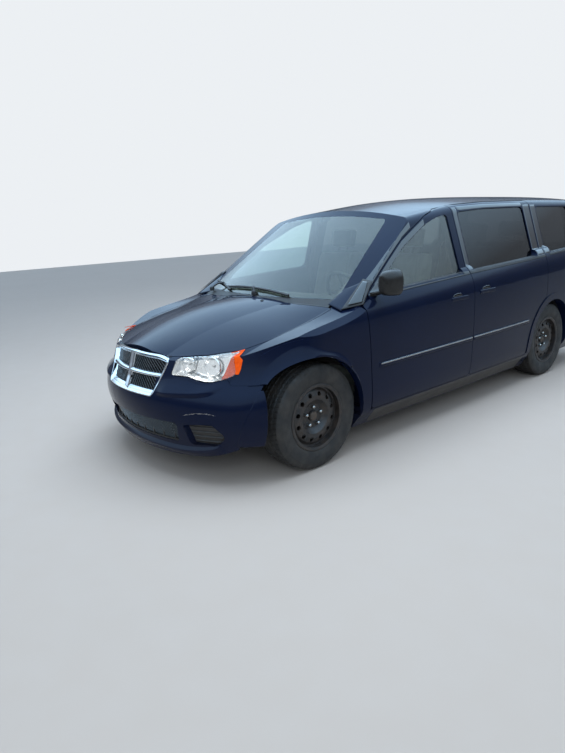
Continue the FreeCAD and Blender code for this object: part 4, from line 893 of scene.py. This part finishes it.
bands = {
    "bumperShoulder": {"from": 0.300, "to": 0.742, "steps": 90, "rows": 36, "split": 0.70, "proud": 0.020,
                       "fade": 0.10, "topPower": 1.15, "footPower": 1.0, "sink": 0.0012,
                       "top": [(0.25, 0.664), (0.41, 0.676), (0.51, 0.674), (0.60, 0.650), (0.68, 0.660),
                               (0.75, 0.690)],
                       "crease": [(0.25, 0.590), (0.326, 0.590), (0.415, 0.594), (0.519, 0.600),
                                  (0.615, 0.608), (0.684, 0.622), (0.75, 0.655)],
                       "foot": [(0.25, 0.556), (0.519, 0.562), (0.684, 0.584), (0.75, 0.615)]},
    "chinLip": {"from": -0.745, "to": 0.745, "steps": 200, "rows": 30, "split": 0.34, "proud": 0.017,
                "fade": 0.05, "topPower": 0.8, "footPower": 0.7, "sink": 0.0012,
                "top": [(0.0, 0.254), (0.285, 0.248), (0.443, 0.247), (0.567, 0.254), (0.671, 0.270),
                        (0.75, 0.300)],
                "crease": [(0.0, 0.231), (0.285, 0.224), (0.443, 0.224), (0.567, 0.233), (0.671, 0.250),
                           (0.75, 0.276)],
                "foot": [(0.0, 0.176), (0.285, 0.192), (0.443, 0.186), (0.567, 0.190), (0.671, 0.212),
                         (0.75, 0.238)]},
}
for sideName, side, mirror in sides:
    makePiece("bumperShoulder" + sideName, [bumperBand(bands["bumperShoulder"])], "paint", "body", mirror)
makePiece("chinLip", [bumperBand(bands["chinLip"])], "paint", "body")

# Scrapes are thin ribbons on the skin along (out, up) lines. Products of sines make
# their middle wander and their width ragged.
scrape = {"steps": 80, "wander": (0.0016, 310, 97), "wide": (0.0022, 260, 71), "fade": 0.02, "least": 0.0003,
          "stand": 0.0004,
          "lines": [[(0.540, 0.466), (0.622, 0.485), (0.687, 0.486), (0.731, 0.477)],
                    [(0.594, 0.408), (0.609, 0.377), (0.657, 0.360)]]}


def scrapeNet(look, line):
    line = np.asarray(line)
    outs = np.linspace(line[0, 0], line[-1, 0], look["steps"])
    wander, slow, fast = look["wander"]
    middle = np.interp(outs, line[:, 0], line[:, 1]) + wander * np.sin(outs * slow) * np.sin(outs * fast)
    wide, slow, fast = look["wide"]
    toEnd = ease(np.minimum(outs - outs[0], outs[-1] - outs), 0, look["fade"])
    wide = wide * np.abs(np.sin(outs * slow) * np.sin(outs * fast)) * toEnd
    ups = middle + (wide + look["least"]) * np.array([[1.0], [0.0], [-1.0]])
    across = np.broadcast_to(outs, ups.shape)
    front = touch(bumperSkin, 1, -1, across, ups, noseFront(across, ups))
    return sheetOf(across, front - look["stand"], ups)


makePiece("bumperScrapes", [scrapeNet(scrape, line) for line in scrape["lines"]], "scrape", "body")

pocket = {"rows": 60, "columns": 40, "low": 0.272, "high": 0.398, "inner": [(0.262, 0.540), (0.40, 0.532)],
          "outer": [(0.272, 0.686), (0.296, 0.722), (0.330, 0.744), (0.36, 0.735), (0.40, 0.706)],
          "depth": 0.032, "ribs": 4, "ribHalf": 0.24, "rib": 0.010, "base": 0.003, "edge": 0.06}


# A black insert lies on the pocket's floor. Its stand-off is a row of rounded ribs.
def pocketNet(look):
    up = np.linspace(look["low"], look["high"], look["rows"])[:, None]
    share = np.linspace(0, 1, look["columns"])
    inner = np.interp(up, *zip(*look["inner"]))
    outer = np.interp(up, *zip(*look["outer"]))
    out = inner + (outer - inner) * share
    level = np.broadcast_to(up, out.shape)
    floor = touch(bumperSkin, 1, -1, out, level, noseFront(out, level) + look["depth"])
    place = (up - look["low"]) / (look["high"] - look["low"]) * look["ribs"]
    wave = np.clip(1 - (np.abs((place % 1.0) - 0.5) / look["ribHalf"]) ** 2, 0, 1) ** 0.5
    edge = ease(np.minimum(share, 1 - share), 0.0, look["edge"])
    stand = look["base"] + look["rib"] * wave * edge
    return sheetOf(out, floor - stand, level)


for sideName, side, mirror in sides:
    makePiece("fogPocketInsert" + sideName, [pocketNet(pocket)], "blackPlastic", "body", mirror)

# Fine slanting mesh in front of the lower grille's slats
lowerMesh = {"low": 0.276, "high": 0.402, "lowHalf": 0.432, "highHalf": 0.472, "spacing": 0.017,
             "behind": 0.030, "wire": (0.0022, 0.0030)}
makePiece("lowerMesh", latticeNets(lowerMesh), "glossBlack", "body")
print("bumper ready")

# Headlamps
lampMesh = trianglesOf("headlamps")
lampRegion = {"rows": 44, "columns": 90, "from": 0.404, "to": 0.752, "lowGap": 0.004, "highGap": 0.003,
              "least": 0.02, "search": (0.70, 0.90, 101), "missed": 9.0,
              "low": [(0.398, 0.689), (0.43, 0.688), (0.48, 0.687), (0.52, 0.684), (0.57, 0.669),
                      (0.62, 0.659), (0.66, 0.658), (0.71, 0.673), (0.755, 0.697)]}


# The top edge of the lamp is found by looking up its face until the CAD solid ends
def lampTop(out):
    ups = np.linspace(*lampRegion["search"])[:, None] + 0 * out
    hit = touch(lampMesh, 1, -1, out[None], ups, lampRegion["missed"])
    return np.where(hit < lampRegion["missed"], ups, 0.0).max(0)


lampOut = np.linspace(lampRegion["from"], lampRegion["to"], lampRegion["columns"])
lampLow = np.interp(lampOut, *zip(*lampRegion["low"])) + lampRegion["lowGap"]
lampHigh = np.maximum(lampTop(lampOut) - lampRegion["highGap"], lampLow + lampRegion["least"])


# A place on the lamp: how far out, its share of the way up the face, and how far back.
# Where no ray meets the solid, the nose's own form stands in.
def lampPoint(out, share, depth):
    low = np.interp(out, lampOut, lampLow)
    high = np.interp(out, lampOut, lampHigh)
    up = low + (high - low) * share
    front = touch(lampMesh, 1, -1, out, up, lampRegion["missed"])
    front = np.where(front < lampRegion["missed"], front, noseFront(out, up))
    return np.stack([out, front + depth, up + 0 * out], -1)


lens = {"depth": 0.0008, "rows": 30, "columns": 70, "thick": 0.0025}
lensShare = np.linspace(0, 1, lens["rows"])[:, None]
lensOut = np.linspace(lampRegion["from"], lampRegion["to"], lens["columns"])
lensNet = lampPoint(np.broadcast_to(lensOut, (lens["rows"], lens["columns"])), lensShare, -lens["depth"])

# Behind the lens a bright tray follows it, set back and falling away to the middle.
# Upright flutes run down its inner part: the absolute value of a sine across it.
lampTray = {"near": 0.006, "deep": 0.050, "steep": 6, "edge": 0.02,
            "flute": 0.0030, "fluteWide": 0.018, "fluteFrom": (0.44, 0.45), "fluteTo": (0.535, 0.545)}
trayShare = np.linspace(0, 1, lampRegion["rows"])[:, None]
trayOuts = lampOut + 0 * trayShare
toSide = np.minimum(trayOuts - lampRegion["from"], lampRegion["to"] - trayOuts) / lampTray["edge"]
toEdge = np.minimum(np.minimum(trayShare, 1 - trayShare) * lampTray["steep"], toSide)
fall = ease(toEdge, 0, 1)
fluteShare = ease(trayOuts, *lampTray["fluteFrom"]) * (1 - ease(trayOuts, *lampTray["fluteTo"]))
flutes = lampTray["flute"] * np.abs(np.sin(trayOuts * 2 * math.pi / lampTray["fluteWide"])) * fluteShare
trayNet = lampPoint(trayOuts, trayShare, lampTray["near"] + lampTray["deep"] * fall + flutes * fall)

bowlForm = {"facing": (0.30, -0.95, 0.05), "hole": 0.10, "rim": 0.0022, "skirt": (0.0010, -0.012),
            "ahead": 0.02,
            "bulb": [(0.0001, -0.004), (0.0045, -0.006), (0.0062, -0.012), (0.0062, -0.030), (0.010, -0.040),
                     (0.0001, -0.041)]}
bowls = {
    "low": {"out": 0.618, "up": 0.745, "radius": 0.058, "depth": 0.052, "set": 0.008},
    "inner": {"out": 0.482, "up": 0.752, "radius": 0.043, "depth": 0.038, "set": 0.010},
}


# A bowl is a paraboloid with a rolled rim, facing ahead and a little outward
def bowlNet(look):
    shares = np.linspace(bowlForm["hole"], 1, 22)
    dish = [(look["radius"] * share, look["depth"] * (share ** 2 - 1)) for share in shares]
    rim = [(look["radius"] + bowlForm["rim"] * math.sin(turn), bowlForm["rim"] * (1 - math.cos(turn)))
           for turn in np.linspace(0, math.pi, 7)]
    skirt = [(look["radius"] + bowlForm["skirt"][0], bowlForm["skirt"][1])]
    front = lampPoint(np.array([look["out"]]), np.array([0.5]), 0.0)[0]
    centre = (look["out"], front[1] + look["set"] + bowlForm["ahead"], look["up"])
    return turned(dish + rim + skirt, centre, bowlForm["facing"], 56), centre


for sideName, side, mirror in sides:
    lensPiece = makePiece("headlampLens" + sideName, [(lensNet, False, False)], "lampLens", "body", mirror)
    giveThickness(lensPiece, lens["thick"])
    makePiece("headlampTray" + sideName, [(trayNet, False, False)], "reflector", "body", mirror)
    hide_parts("headlamps")
    for bowlName, bowl in bowls.items():
        bowlShape, bowlCentre = bowlNet(bowl)
        makePiece(bowlName + "Bowl" + sideName, [bowlShape], "reflector", "body", mirror)
        bulb = turned(bowlForm["bulb"], bowlCentre, bowlForm["facing"], 16)
        makePiece(bowlName + "Bulb" + sideName, [bulb], "bulbGlass", "body", mirror)

# The turn lamp's amber segment stands behind the lens, fluted like the tray
amber = {"rows": 26, "columns": 16, "up": (0.04, 0.94), "from": 0.690, "slope": 0.020, "to": 0.7485,
         "depth": 0.010, "flute": 0.0015, "fluteWide": 0.006, "thick": 0.004}
amberShare = np.linspace(*amber["up"], amber["rows"])[:, None]
amberFrom = amber["from"] + amber["slope"] * amberShare
amberOuts = amberFrom + (amber["to"] - amberFrom) * np.linspace(0, 1, amber["columns"])
amberFlutes = amber["flute"] * np.abs(np.sin(amberOuts * 2 * math.pi / amber["fluteWide"]))
amberNet = lampPoint(amberOuts, amberShare, amber["depth"] + amberFlutes)
for sideName, side, mirror in sides:
    segment = makePiece("turnSegment" + sideName, [(amberNet, False, False)], "amberLens", "body", mirror)
    giveThickness(segment, amber["thick"])

# The lamp's outer edge bulges past the CAD solid: a lobe lies on the fender there
lobe = {"rows": 40, "columns": 16, "low": 0.704, "high": 0.834, "stand": 0.0022, "thick": 0.003,
        "inner": [(0.70, 0.752), (0.88, 0.704)],
        "outer": [(0.70, 0.764), (0.73, 0.767), (0.786, 0.764), (0.81, 0.746), (0.836, 0.722)]}
lobeSkin = trianglesOf("fenders", "headlamps", "front_bumper")
lobeUp = np.linspace(lobe["low"], lobe["high"], lobe["rows"])[:, None]
lobeInner, lobeOuter = (np.interp(lobeUp, *zip(*lobe[edge])) for edge in ("inner", "outer"))
lobeOut = lobeInner + (lobeOuter - lobeInner) * np.linspace(0, 1, lobe["columns"])
lobeLevel = lobeUp + 0 * lobeOut
lobeFront = touch(lobeSkin, 1, -1, lobeOut, lobeLevel, noseFront(lobeOut, lobeLevel))
lobeNet = sheetOf(lobeOut, lobeFront - lobe["stand"], lobeLevel)
for sideName, side, mirror in sides:
    giveThickness(makePiece("lampLobe" + sideName, [lobeNet], "amberLens", "body", mirror), lobe["thick"])
print("headlamps ready")

# Seats
# Each part of a seat: the line of its middle in (share, station, level above the cabin
# floor), half width and half thickness along it, how proud the side bolsters stand, and
# its sewn channels across and along
seatParts = {
    "cushion": {"line": [(0, 0.0, 0.395), (0.5, 0.24, 0.405), (1, 0.50, 0.365)],
                "half": 0.255, "thick": 0.060, "bolster": 0.022, "channels": (0.60,), "seams": (0.36, 0.68)},
    "back": {"line": [(0, 0.455, 0.40), (0.5, 0.545, 0.66), (1, 0.62, 0.965)],
             "half": 0.245, "thick": 0.052, "bolster": 0.028, "channels": (0.58,), "seams": (0.36, 0.68)},
    "headrest": {"line": [(0, 0.640, 1.015), (0.5, 0.655, 1.090), (1, 0.672, 1.165)],
                 "half": 0.125, "thick": 0.042, "bolster": 0.004, "channels": (), "seams": ()},
}
padForm = {"floor": 0.300, "steps": 48, "round": 96, "endPower": 10, "widePower": 0.30, "highPower": 0.55,
           "bolsterFrom": (0.55, 0.80), "bolsterTo": (0.88, 1.0), "bolsterDrop": 0.6, "crown": 0.16,
           "channel": 0.008, "channelWide": 0.018, "seam": 0.007, "seamWide": 0.010,
           "seamHigh": 0.3, "seamEdge": 0.6, "endWide": 0.90}


# A crowned closed form: rounded ends and sides, its thickness swelling in the middle
# by a cosine, bolsters raised on the front face, channels and seams pressed in by
# narrow dips, exp(-(distance / width) squared).
def padNet(part, half, front, out):
    share = np.linspace(0, 1, padForm["steps"])
    along, up = through(part["line"], share).T
    path = np.stack([0 * along, yOf(along + front), up + padForm["floor"]], -1)
    ahead = np.gradient(path, axis=0)
    ahead /= np.linalg.norm(ahead, axis=1, keepdims=True)
    lift = np.cross((1, 0, 0), ahead)
    ends = np.clip(1 - np.abs(2 * share - 1) ** padForm["endPower"], 0, 1) ** 0.5
    angle = np.linspace(0, 2 * math.pi, padForm["round"], endpoint=False)
    cosine, sine = np.cos(angle), np.sin(angle)
    wide = np.sign(cosine) * np.abs(cosine) ** padForm["widePower"]
    high = np.sign(sine) * np.abs(sine) ** padForm["highPower"]
    edge = np.abs(wide)
    drop = 1 - padForm["bolsterDrop"] * ease(edge, *padForm["bolsterTo"])
    raised = part["bolster"] * ease(edge, *padForm["bolsterFrom"]) * drop * (high > 0)
    channels = (np.exp(-((edge - place) / padForm["channelWide"]) ** 2) for place in part["channels"])
    seams = (np.exp(-((share - place) / padForm["seamWide"]) ** 2) for place in part["seams"])
    crown = 1 + padForm["crown"] * np.cos(wide * math.pi / 2)
    thick = part["thick"] * high * crown + raised - padForm["channel"] * sum(channels, 0 * edge) * (high > 0)
    seamed = (high > padForm["seamHigh"]) & (edge < padForm["seamEdge"])
    pressed = padForm["seam"] * (sum(seams, 0 * share) * ends)[:, None] * seamed[None]
    thick = thick[None] * ends[:, None] - pressed
    across = out + half * wide[None] * (padForm["endWide"] + (1 - padForm["endWide"]) * ends[:, None])
    net = path[:, None] * (0, 1, 1) + across[..., None] * (1, 0, 0) + thick[..., None] * lift[:, None]
    return closed(net)


seatRows = {
    "frontSeats": {"node": "front_seats", "outs": (0.380, -0.380), "front": 1.955, "half": 0.258},
    "middleSeats": {"node": "middle_seats", "outs": (0.400, -0.400), "front": 2.885, "half": 0.248},
    "rearSeat": {"node": "rear_seat", "outs": (0.276, -0.276), "front": 3.790, "half": 0.272},
}
# Rails run under each cushion and posts hold each headrest: (station, level) from the
# seat's front
seatFrame = {"baseHalf": 0.258, "rails": (-0.17, 0.17), "posts": (-0.05, 0.05),
             "rail": [(0.05, 0.50), (0.10, 0.32), (0.25, 0.308), (0.42, 0.32), (0.46, 0.62)],
             "post": [(0.605, 1.20), (0.645, 1.33)]}


def seatLine(out, front, line):
    return np.array([(out, yOf(front + along), up) for along, up in line])


for seatName, seatRow in seatRows.items():
    pads = []
    for out in seatRow["outs"]:
        for part in seatParts.values():
            half = part["half"] * seatRow["half"] / seatFrame["baseHalf"]
            pads.append(padNet(part, half, seatRow["front"], out))
    padded = makePiece(seatName, pads, "seatCloth", "body")
    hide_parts(seatRow["node"])
    stands = []
    for out in seatRow["outs"]:
        for rail in seatFrame["rails"]:
            line = seatLine(out + rail, seatRow["front"], seatFrame["rail"])
            stands.append(swept(line, barRing(0.016, 0.010, 0.004), (1, 0, 0)))
        for post in seatFrame["posts"]:
            line = seatLine(out + post, seatRow["front"], seatFrame["post"])
            stands.append(swept(line, barRing(0.006, 0.006, 0.0058), (1, 0, 0)))
    makePiece(seatName + "Frame", stands, "underSteel", "body")
print("seats ready")

# Windscreen form, wipers, mirror, washer jets, plate and liftgate trim
screen = {"rake": 33.5, "bow": 3.8, "foot": (1.200, 1.046)}


# The windscreen is a cylinder that leans back: the height at a place across and
# along comes from the circle of its bow, square to its rake
def screenPoint(out, climb, stand):
    lean = math.radians(screen["rake"])
    drop = screen["bow"] - np.sqrt(screen["bow"] ** 2 - out ** 2)
    rise = stand - drop
    along = screen["foot"][0] + climb * math.cos(lean) - rise * math.sin(lean)
    up = screen["foot"][1] + climb * math.sin(lean) + rise * math.cos(lean)
    return np.stack([out + 0 * up, yOf(along), up], -1)


# A wiper blade lies on the glass: a rubber lip, a spine over it and an arm above, which
# rises in its middle by half a sine wave. The cap is (radius, height) round the pivot.
wiperLooks = {"Left": {"pivot": (0.020, 1.199, 1.062), "from": (0.377, 0.040), "to": (-0.444, 0.078)},
              "Right": {"pivot": (-0.640, 1.262, 1.050), "from": (-0.331, 0.035), "to": (-0.726, 0.188)}}
wiperForm = {"sag": 0.008, "lip": 0.009, "spine": 0.017, "lift": (0, 0, 0.008), "rise": (0, 0, 0.014),
             "level": (0, -0.5, 0.85),
             "cap": [(0.0, 0.022), (0.012, 0.022), (0.017, 0.017), (0.019, 0.008), (0.019, -0.012),
                     (0.0, -0.012)]}
for wiperName, wiper in wiperLooks.items():
    share = np.linspace(0, 1, 40)
    out = wiper["from"][0] + (wiper["to"][0] - wiper["from"][0]) * share
    climb = wiper["from"][1] + (wiper["to"][1] - wiper["from"][1]) * share
    climb = climb + wiperForm["sag"] * np.sin(share * math.pi)
    blade = screenPoint(out, climb, wiperForm["lip"])
    spine = screenPoint(out, climb, wiperForm["spine"])
    middle = spine[len(spine) // 2]
    pivot = np.array((wiper["pivot"][0], yOf(wiper["pivot"][1]), wiper["pivot"][2]))
    armShare = np.linspace(0, 1, 24)[:, None]
    rise = np.array(wiperForm["rise"]) * np.sin(armShare * math.pi)
    arm = pivot + (middle - pivot) * armShare + rise + np.array(wiperForm["lift"])
    nets = [swept(blade, barRing(0.0030, 0.0075, 0.0028), wiperForm["level"]),
            swept(spine, barRing(0.0085, 0.0045, 0.0040), wiperForm["level"]),
            swept(arm, barRing(0.0075, 0.0055, 0.0040), wiperForm["level"]),
            turned(wiperForm["cap"], pivot, (0, 0, 1), 24)]
    piece = makePiece("wiperBlade" + wiperName, nets, "blackPlastic", "body")
    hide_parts("wipers")

# The mirror's housing: rounded rings that grow from its nose to its flat rear edge by
# 1 - (1 - share) to a power. They are wider and crowned at the top, with a fine step
# near the nose.
mirrorShape = {"out": (0.972, 1.1275), "along": (1.450, 1.580), "up": (1.070, 1.2415), "power": 0.62,
               "drop": 0.010, "nose": (2.4, 0.42), "topWide": 0.06, "topHigh": 0.096, "topCrown": 0.012,
               "footHigh": 0.076, "noseHigh": 0.45, "tip": 3, "shares": (1.6, 0.996, 0.002),
               "seam": (0.12, 0.995),
               "arm": (0.880, 1.520, 1.066), "armReach": (0.150, 0.0, 0.030), "armBend": (0, 0, 0.010)}


def mirrorRing(share, grow):
    angle = np.linspace(0, 2 * math.pi, 72, endpoint=False)
    scale = (1 - (1 - share) ** mirrorShape["nose"][0]) ** mirrorShape["nose"][1]
    cosine, sine = np.cos(angle), np.sin(angle)
    wide = np.sign(cosine) * np.abs(cosine) ** mirrorShape["power"]
    high = np.sign(sine) * np.abs(sine) ** mirrorShape["power"]
    middleOut, middleUp = np.mean(mirrorShape["out"]), np.mean(mirrorShape["up"]) - mirrorShape["drop"]
    widening = 1 - mirrorShape["topWide"] + mirrorShape["topWide"] * high
    out = middleOut + wide * scale * np.ptp(mirrorShape["out"]) / 2 * widening * grow
    topLift = mirrorShape["topHigh"] - mirrorShape["topCrown"] * wide ** 2
    lift = np.where(high > 0, topLift, mirrorShape["footHigh"])
    growth = mirrorShape["noseHigh"] + (1 - mirrorShape["noseHigh"]) * scale
    up = middleUp + high * lift * growth * np.minimum(1, scale * mirrorShape["tip"]) * grow
    along = mirrorShape["along"][0] + share * np.ptp(mirrorShape["along"])
    return np.stack([out, yOf(along) + 0 * out, up], -1)


power, scaling, start = mirrorShape["shares"]
mirrorShares = np.linspace(0, 1, 40) ** power * scaling + start
seamAt, seamSize = mirrorShape["seam"]
housing = np.stack([mirrorRing(share, 1.0 if share > seamAt else seamSize) for share in mirrorShares])
armShare = np.linspace(0, 1, 16)[:, None]
armStart = np.array((mirrorShape["arm"][0], yOf(mirrorShape["arm"][1]), mirrorShape["arm"][2]))
armBend = armShare ** 2 * np.array(mirrorShape["armBend"])
armLine = armStart + armShare * np.array(mirrorShape["armReach"]) + armBend
mirrorNets = [closed(housing), swept(armLine, barRing(0.032, 0.014, 0.012), (0, 0, 1))]
mirrorPiece = makePiece("mirrorHousingLeft", mirrorNets, "satinBlack", "front_door_left")
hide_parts("mirror_left")

# The mirror's glass, a shallow dome with rounded corners: the square of shares is
# drawn in to the curve where the fifth powers of both add up to one
mirrorGlass = {"out": (0.984, 1.116), "up": (1.086, 1.226), "along": 1.5805, "set": 0.002, "dome": 0.004}
glassShare = np.linspace(-1, 1, 30)
acrossShare, upShare = np.meshgrid(glassShare, glassShare)
squircle = (np.abs(acrossShare) ** 5 + np.abs(upShare) ** 5) ** 0.2
fit = np.maximum(np.abs(acrossShare), np.abs(upShare)) / np.maximum(squircle, 1e-6)
glassOut = np.mean(mirrorGlass["out"]) + acrossShare * fit * np.ptp(mirrorGlass["out"]) / 2
glassUp = np.mean(mirrorGlass["up"]) + upShare * fit * np.ptp(mirrorGlass["up"]) / 2
dome = mirrorGlass["dome"] * (1 - np.clip(squircle, 0, 1) ** 8)
glassNet = sheetOf(glassOut, yOf(mirrorGlass["along"] - mirrorGlass["set"] + dome), glassUp)
makePiece("mirrorGlassLeft", [glassNet], "mirrorSilver", "front_door_left")

# Two washer jets on the hood, black domes
hoodSkin = trianglesOf("hood")
washerJet = {"outs": (("Left", 0.215), ("Right", -0.215)), "along": 1.120, "missed": 1.03,
             "profile": [(0.0, 0.0075), (0.006, 0.0070), (0.0105, 0.0045), (0.013, 0.0), (0.013, -0.004),
                         (0.0, -0.004)]}
jetAlong = yOf(washerJet["along"])
for jetName, jetOut in washerJet["outs"]:
    jetUp = touch(hoodSkin, 2, 1, np.array([jetOut]), np.array([jetAlong]), washerJet["missed"])[0]
    jetDome = turned(washerJet["profile"], (jetOut, jetAlong, jetUp), (0, 0, 1), 24)
    makePiece("washerJet" + jetName, [jetDome], "blackPlastic", "hood")

# A blank number plate with an embossed rim in the liftgate's recess
numberPlate = {"halfWide": 0.1524, "halfHigh": 0.0762, "up": 0.765, "along": 5.142, "emboss": 0.0016,
               "rimFrom": (0.004, 0.006), "rimTo": (0.009, 0.011), "thick": 0.0012,
               "screws": (-0.0889, 0.0889), "screwUp": 0.810, "screwAlong": 5.1415,
               "screw": [(0.0, 0.0055), (0.005, 0.005), (0.0075, 0.0025), (0.0075, 0.0), (0.0, 0.0)]}
plateAcross, plateRise = np.meshgrid(np.linspace(-1, 1, 60), np.linspace(-1, 1, 34))
plateOut, plateUp = plateAcross * numberPlate["halfWide"], plateRise * numberPlate["halfHigh"]
toSide = (1 - np.abs(plateAcross)) * numberPlate["halfWide"]
toRim = np.minimum(toSide, (1 - np.abs(plateRise)) * numberPlate["halfHigh"])
emboss = numberPlate["emboss"] * (ease(toRim, *numberPlate["rimFrom"]) - ease(toRim, *numberPlate["rimTo"]))
plateNet = sheetOf(plateOut, yOf(numberPlate["along"] + emboss), numberPlate["up"] + plateUp)
giveThickness(makePiece("blankPlate", [plateNet], "plateWhite", "liftgate"), numberPlate["thick"])
screwAlong, screwUp = yOf(numberPlate["screwAlong"]), numberPlate["screwUp"]
screws = [turned(numberPlate["screw"], (out, screwAlong, screwUp), (0, 1, 0), 20)
          for out in numberPlate["screws"]]
makePiece("plateScrews", screws, "nutSteel", "liftgate")

# The chrome bar over the plate and the rear wiper, both laid on the gate's outside
gateBar = {"half": 0.42, "up": 0.925, "stand": 0.004, "missed": 5.15}
gateSkin = trianglesOf("liftgate")
barOut = np.linspace(-gateBar["half"], gateBar["half"], 60)
barUp = gateBar["up"] + 0 * barOut
barAlong = touch(gateSkin, 1, 1, barOut, barUp, yOf(gateBar["missed"]))
barLine = np.stack([barOut, barAlong + gateBar["stand"], barUp], -1)
makePiece("gateBar", [swept(barLine, barRing(0.010, 0.017, 0.006), (0, 0, 1))], "chrome", "liftgate")
rearWiper = {"long": 0.34, "up": 1.215, "rise": 0.05, "stand": 0.012, "missed": 5.09,
             "hub": [(0.0, 0.03), (0.015, 0.03), (0.022, 0.02), (0.022, -0.004), (0.0, -0.004)]}
rearGlass = trianglesOf("liftgate", "liftgate_glass")
rearOut = np.linspace(0.0, -rearWiper["long"], 30)
rearUp = rearWiper["up"] + rearWiper["rise"] * np.sin(np.linspace(0, 1, 30) * math.pi)
rearAlong = touch(rearGlass, 1, 1, rearOut, rearUp, yOf(rearWiper["missed"]))
rearLine = np.stack([rearOut, rearAlong + rearWiper["stand"], rearUp], -1)
rearHub = turned(rearWiper["hub"], (0, rearAlong[0], rearWiper["up"]), (0, 1, 0.2), 24)
rearArm = swept(rearLine, barRing(0.007, 0.010, 0.004), (0, 0, 1))
makePiece("rearWiper", [rearArm, rearHub], "blackPlastic", "liftgate")
print("small parts ready")

# Floor, world and lamps
studio = {"floor": 24.0, "under": -0.0005, "floorColor": (0.47, 0.48, 0.49), "backdrop": (0.84, 0.87, 0.90),
          "fill": 0.50,
          "sky": [(0.0, (0.05, 0.06, 0.08)), (0.10, (0.10, 0.12, 0.15)), (0.22, (0.30, 0.34, 0.40)),
                  (0.36, (1.25, 1.80, 2.35)), (0.8, (1.35, 2.10, 2.90))]}


def makeFloor(look):
    reach = look["floor"]
    mesh = bpy.data.meshes.new("studioFloor")
    corners = [(x * reach, y * reach, look["under"]) for x, y in ((-1, -1), (1, -1), (1, 1), (-1, 1))]
    mesh.from_pydata(corners, [], [(0, 1, 2, 3)])
    floor = bpy.data.objects.new("studioFloor", mesh)
    bpy.context.scene.collection.objects.link(floor)
    pale = tuple(value * 0.97 for value in look["floorColor"])
    floorLook = {"color": look["floorColor"], "second": pale, "blotch": 0.4, "rough": (0.75, 0.9),
                 "bump": 0.05, "fine": 60.0}
    mesh.materials.append(finish("paleFloor", floorLook))


# The eye sees one even backdrop, also through glass. Gloss mirrors a sky that brightens
# upward, and all other rays get an even fill.
def makeWorld(look):
    world = bpy.data.worlds.new("studio")
    bpy.context.scene.world = world
    world.use_nodes = True
    tree, links = world.node_tree.nodes, world.node_tree.links
    background = tree["Background"]
    path = tree.new("ShaderNodeLightPath")
    direction = tree.new("ShaderNodeTexCoord").outputs["Generated"]
    split = tree.new("ShaderNodeSeparateXYZ")
    links.new(direction, split.inputs[0])
    sky = ramp(tree, links, split.outputs["Z"], look["sky"])
    fill = tree.new("ShaderNodeMix")
    fill.data_type = "RGBA"
    fill.inputs["A"].default_value = (*grey(look["fill"]), 1)
    links.new(path.outputs["Is Glossy Ray"], fill.inputs["Factor"])
    links.new(sky, fill.inputs["B"])
    seen = tree.new("ShaderNodeMath")
    seen.operation = "MAXIMUM"
    links.new(path.outputs["Is Camera Ray"], seen.inputs[0])
    links.new(path.outputs["Is Transmission Ray"], seen.inputs[1])
    final = tree.new("ShaderNodeMix")
    final.data_type = "RGBA"
    links.new(seen.outputs[0], final.inputs["Factor"])
    links.new(fill.outputs["Result"], final.inputs["A"])
    final.inputs["B"].default_value = (*look["backdrop"], 1)
    links.new(final.outputs["Result"], background.inputs["Color"])
    background.inputs["Strength"].default_value = 1.0


softboxes = {
    "overhead": {"place": (0.5, -0.5, 6.0), "aim": (0, 0, 0.8), "size": (5.0, 7.0), "power": 380.0,
                 "color": (0.95, 0.98, 1.0)},
    "leftFront": {"place": (6.5, -5.5, 4.2), "aim": (0, -0.5, 0.8), "size": (4.0, 3.0), "power": 110.0,
                  "color": (1, 0.98, 0.95)},
    "rear": {"place": (-4.5, 6.5, 4.5), "aim": (0, 0.5, 0.8), "size": (5.0, 3.0), "power": 110.0,
             "color": (0.96, 0.98, 1.0)},
}


def makeLamp(name, look):
    light = bpy.data.lights.new(name, "AREA")
    light.shape = "RECTANGLE"
    light.size, light.size_y = look["size"]
    light.energy = look["power"]
    light.color = look["color"]
    lamp = bpy.data.objects.new(name, light)
    lamp.visible_glossy = False
    bpy.context.scene.collection.objects.link(lamp)
    back = np.array(look["place"], float) - np.array(look["aim"], float)
    back /= np.linalg.norm(back)
    across = np.cross((0, 1, 0) if abs(back[2]) > 0.95 else (0, 0, 1), back)
    across /= np.linalg.norm(across)
    matrix = np.eye(4)
    matrix[:3, 0], matrix[:3, 1], matrix[:3, 2] = across, np.cross(back, across), back
    matrix[:3, 3] = look["place"]
    lamp.matrix_world = Matrix(matrix.tolist())


makeFloor(studio)
makeWorld(studio)
for lampName, lampLook in softboxes.items():
    makeLamp(lampName, lampLook)
print("studio ready")
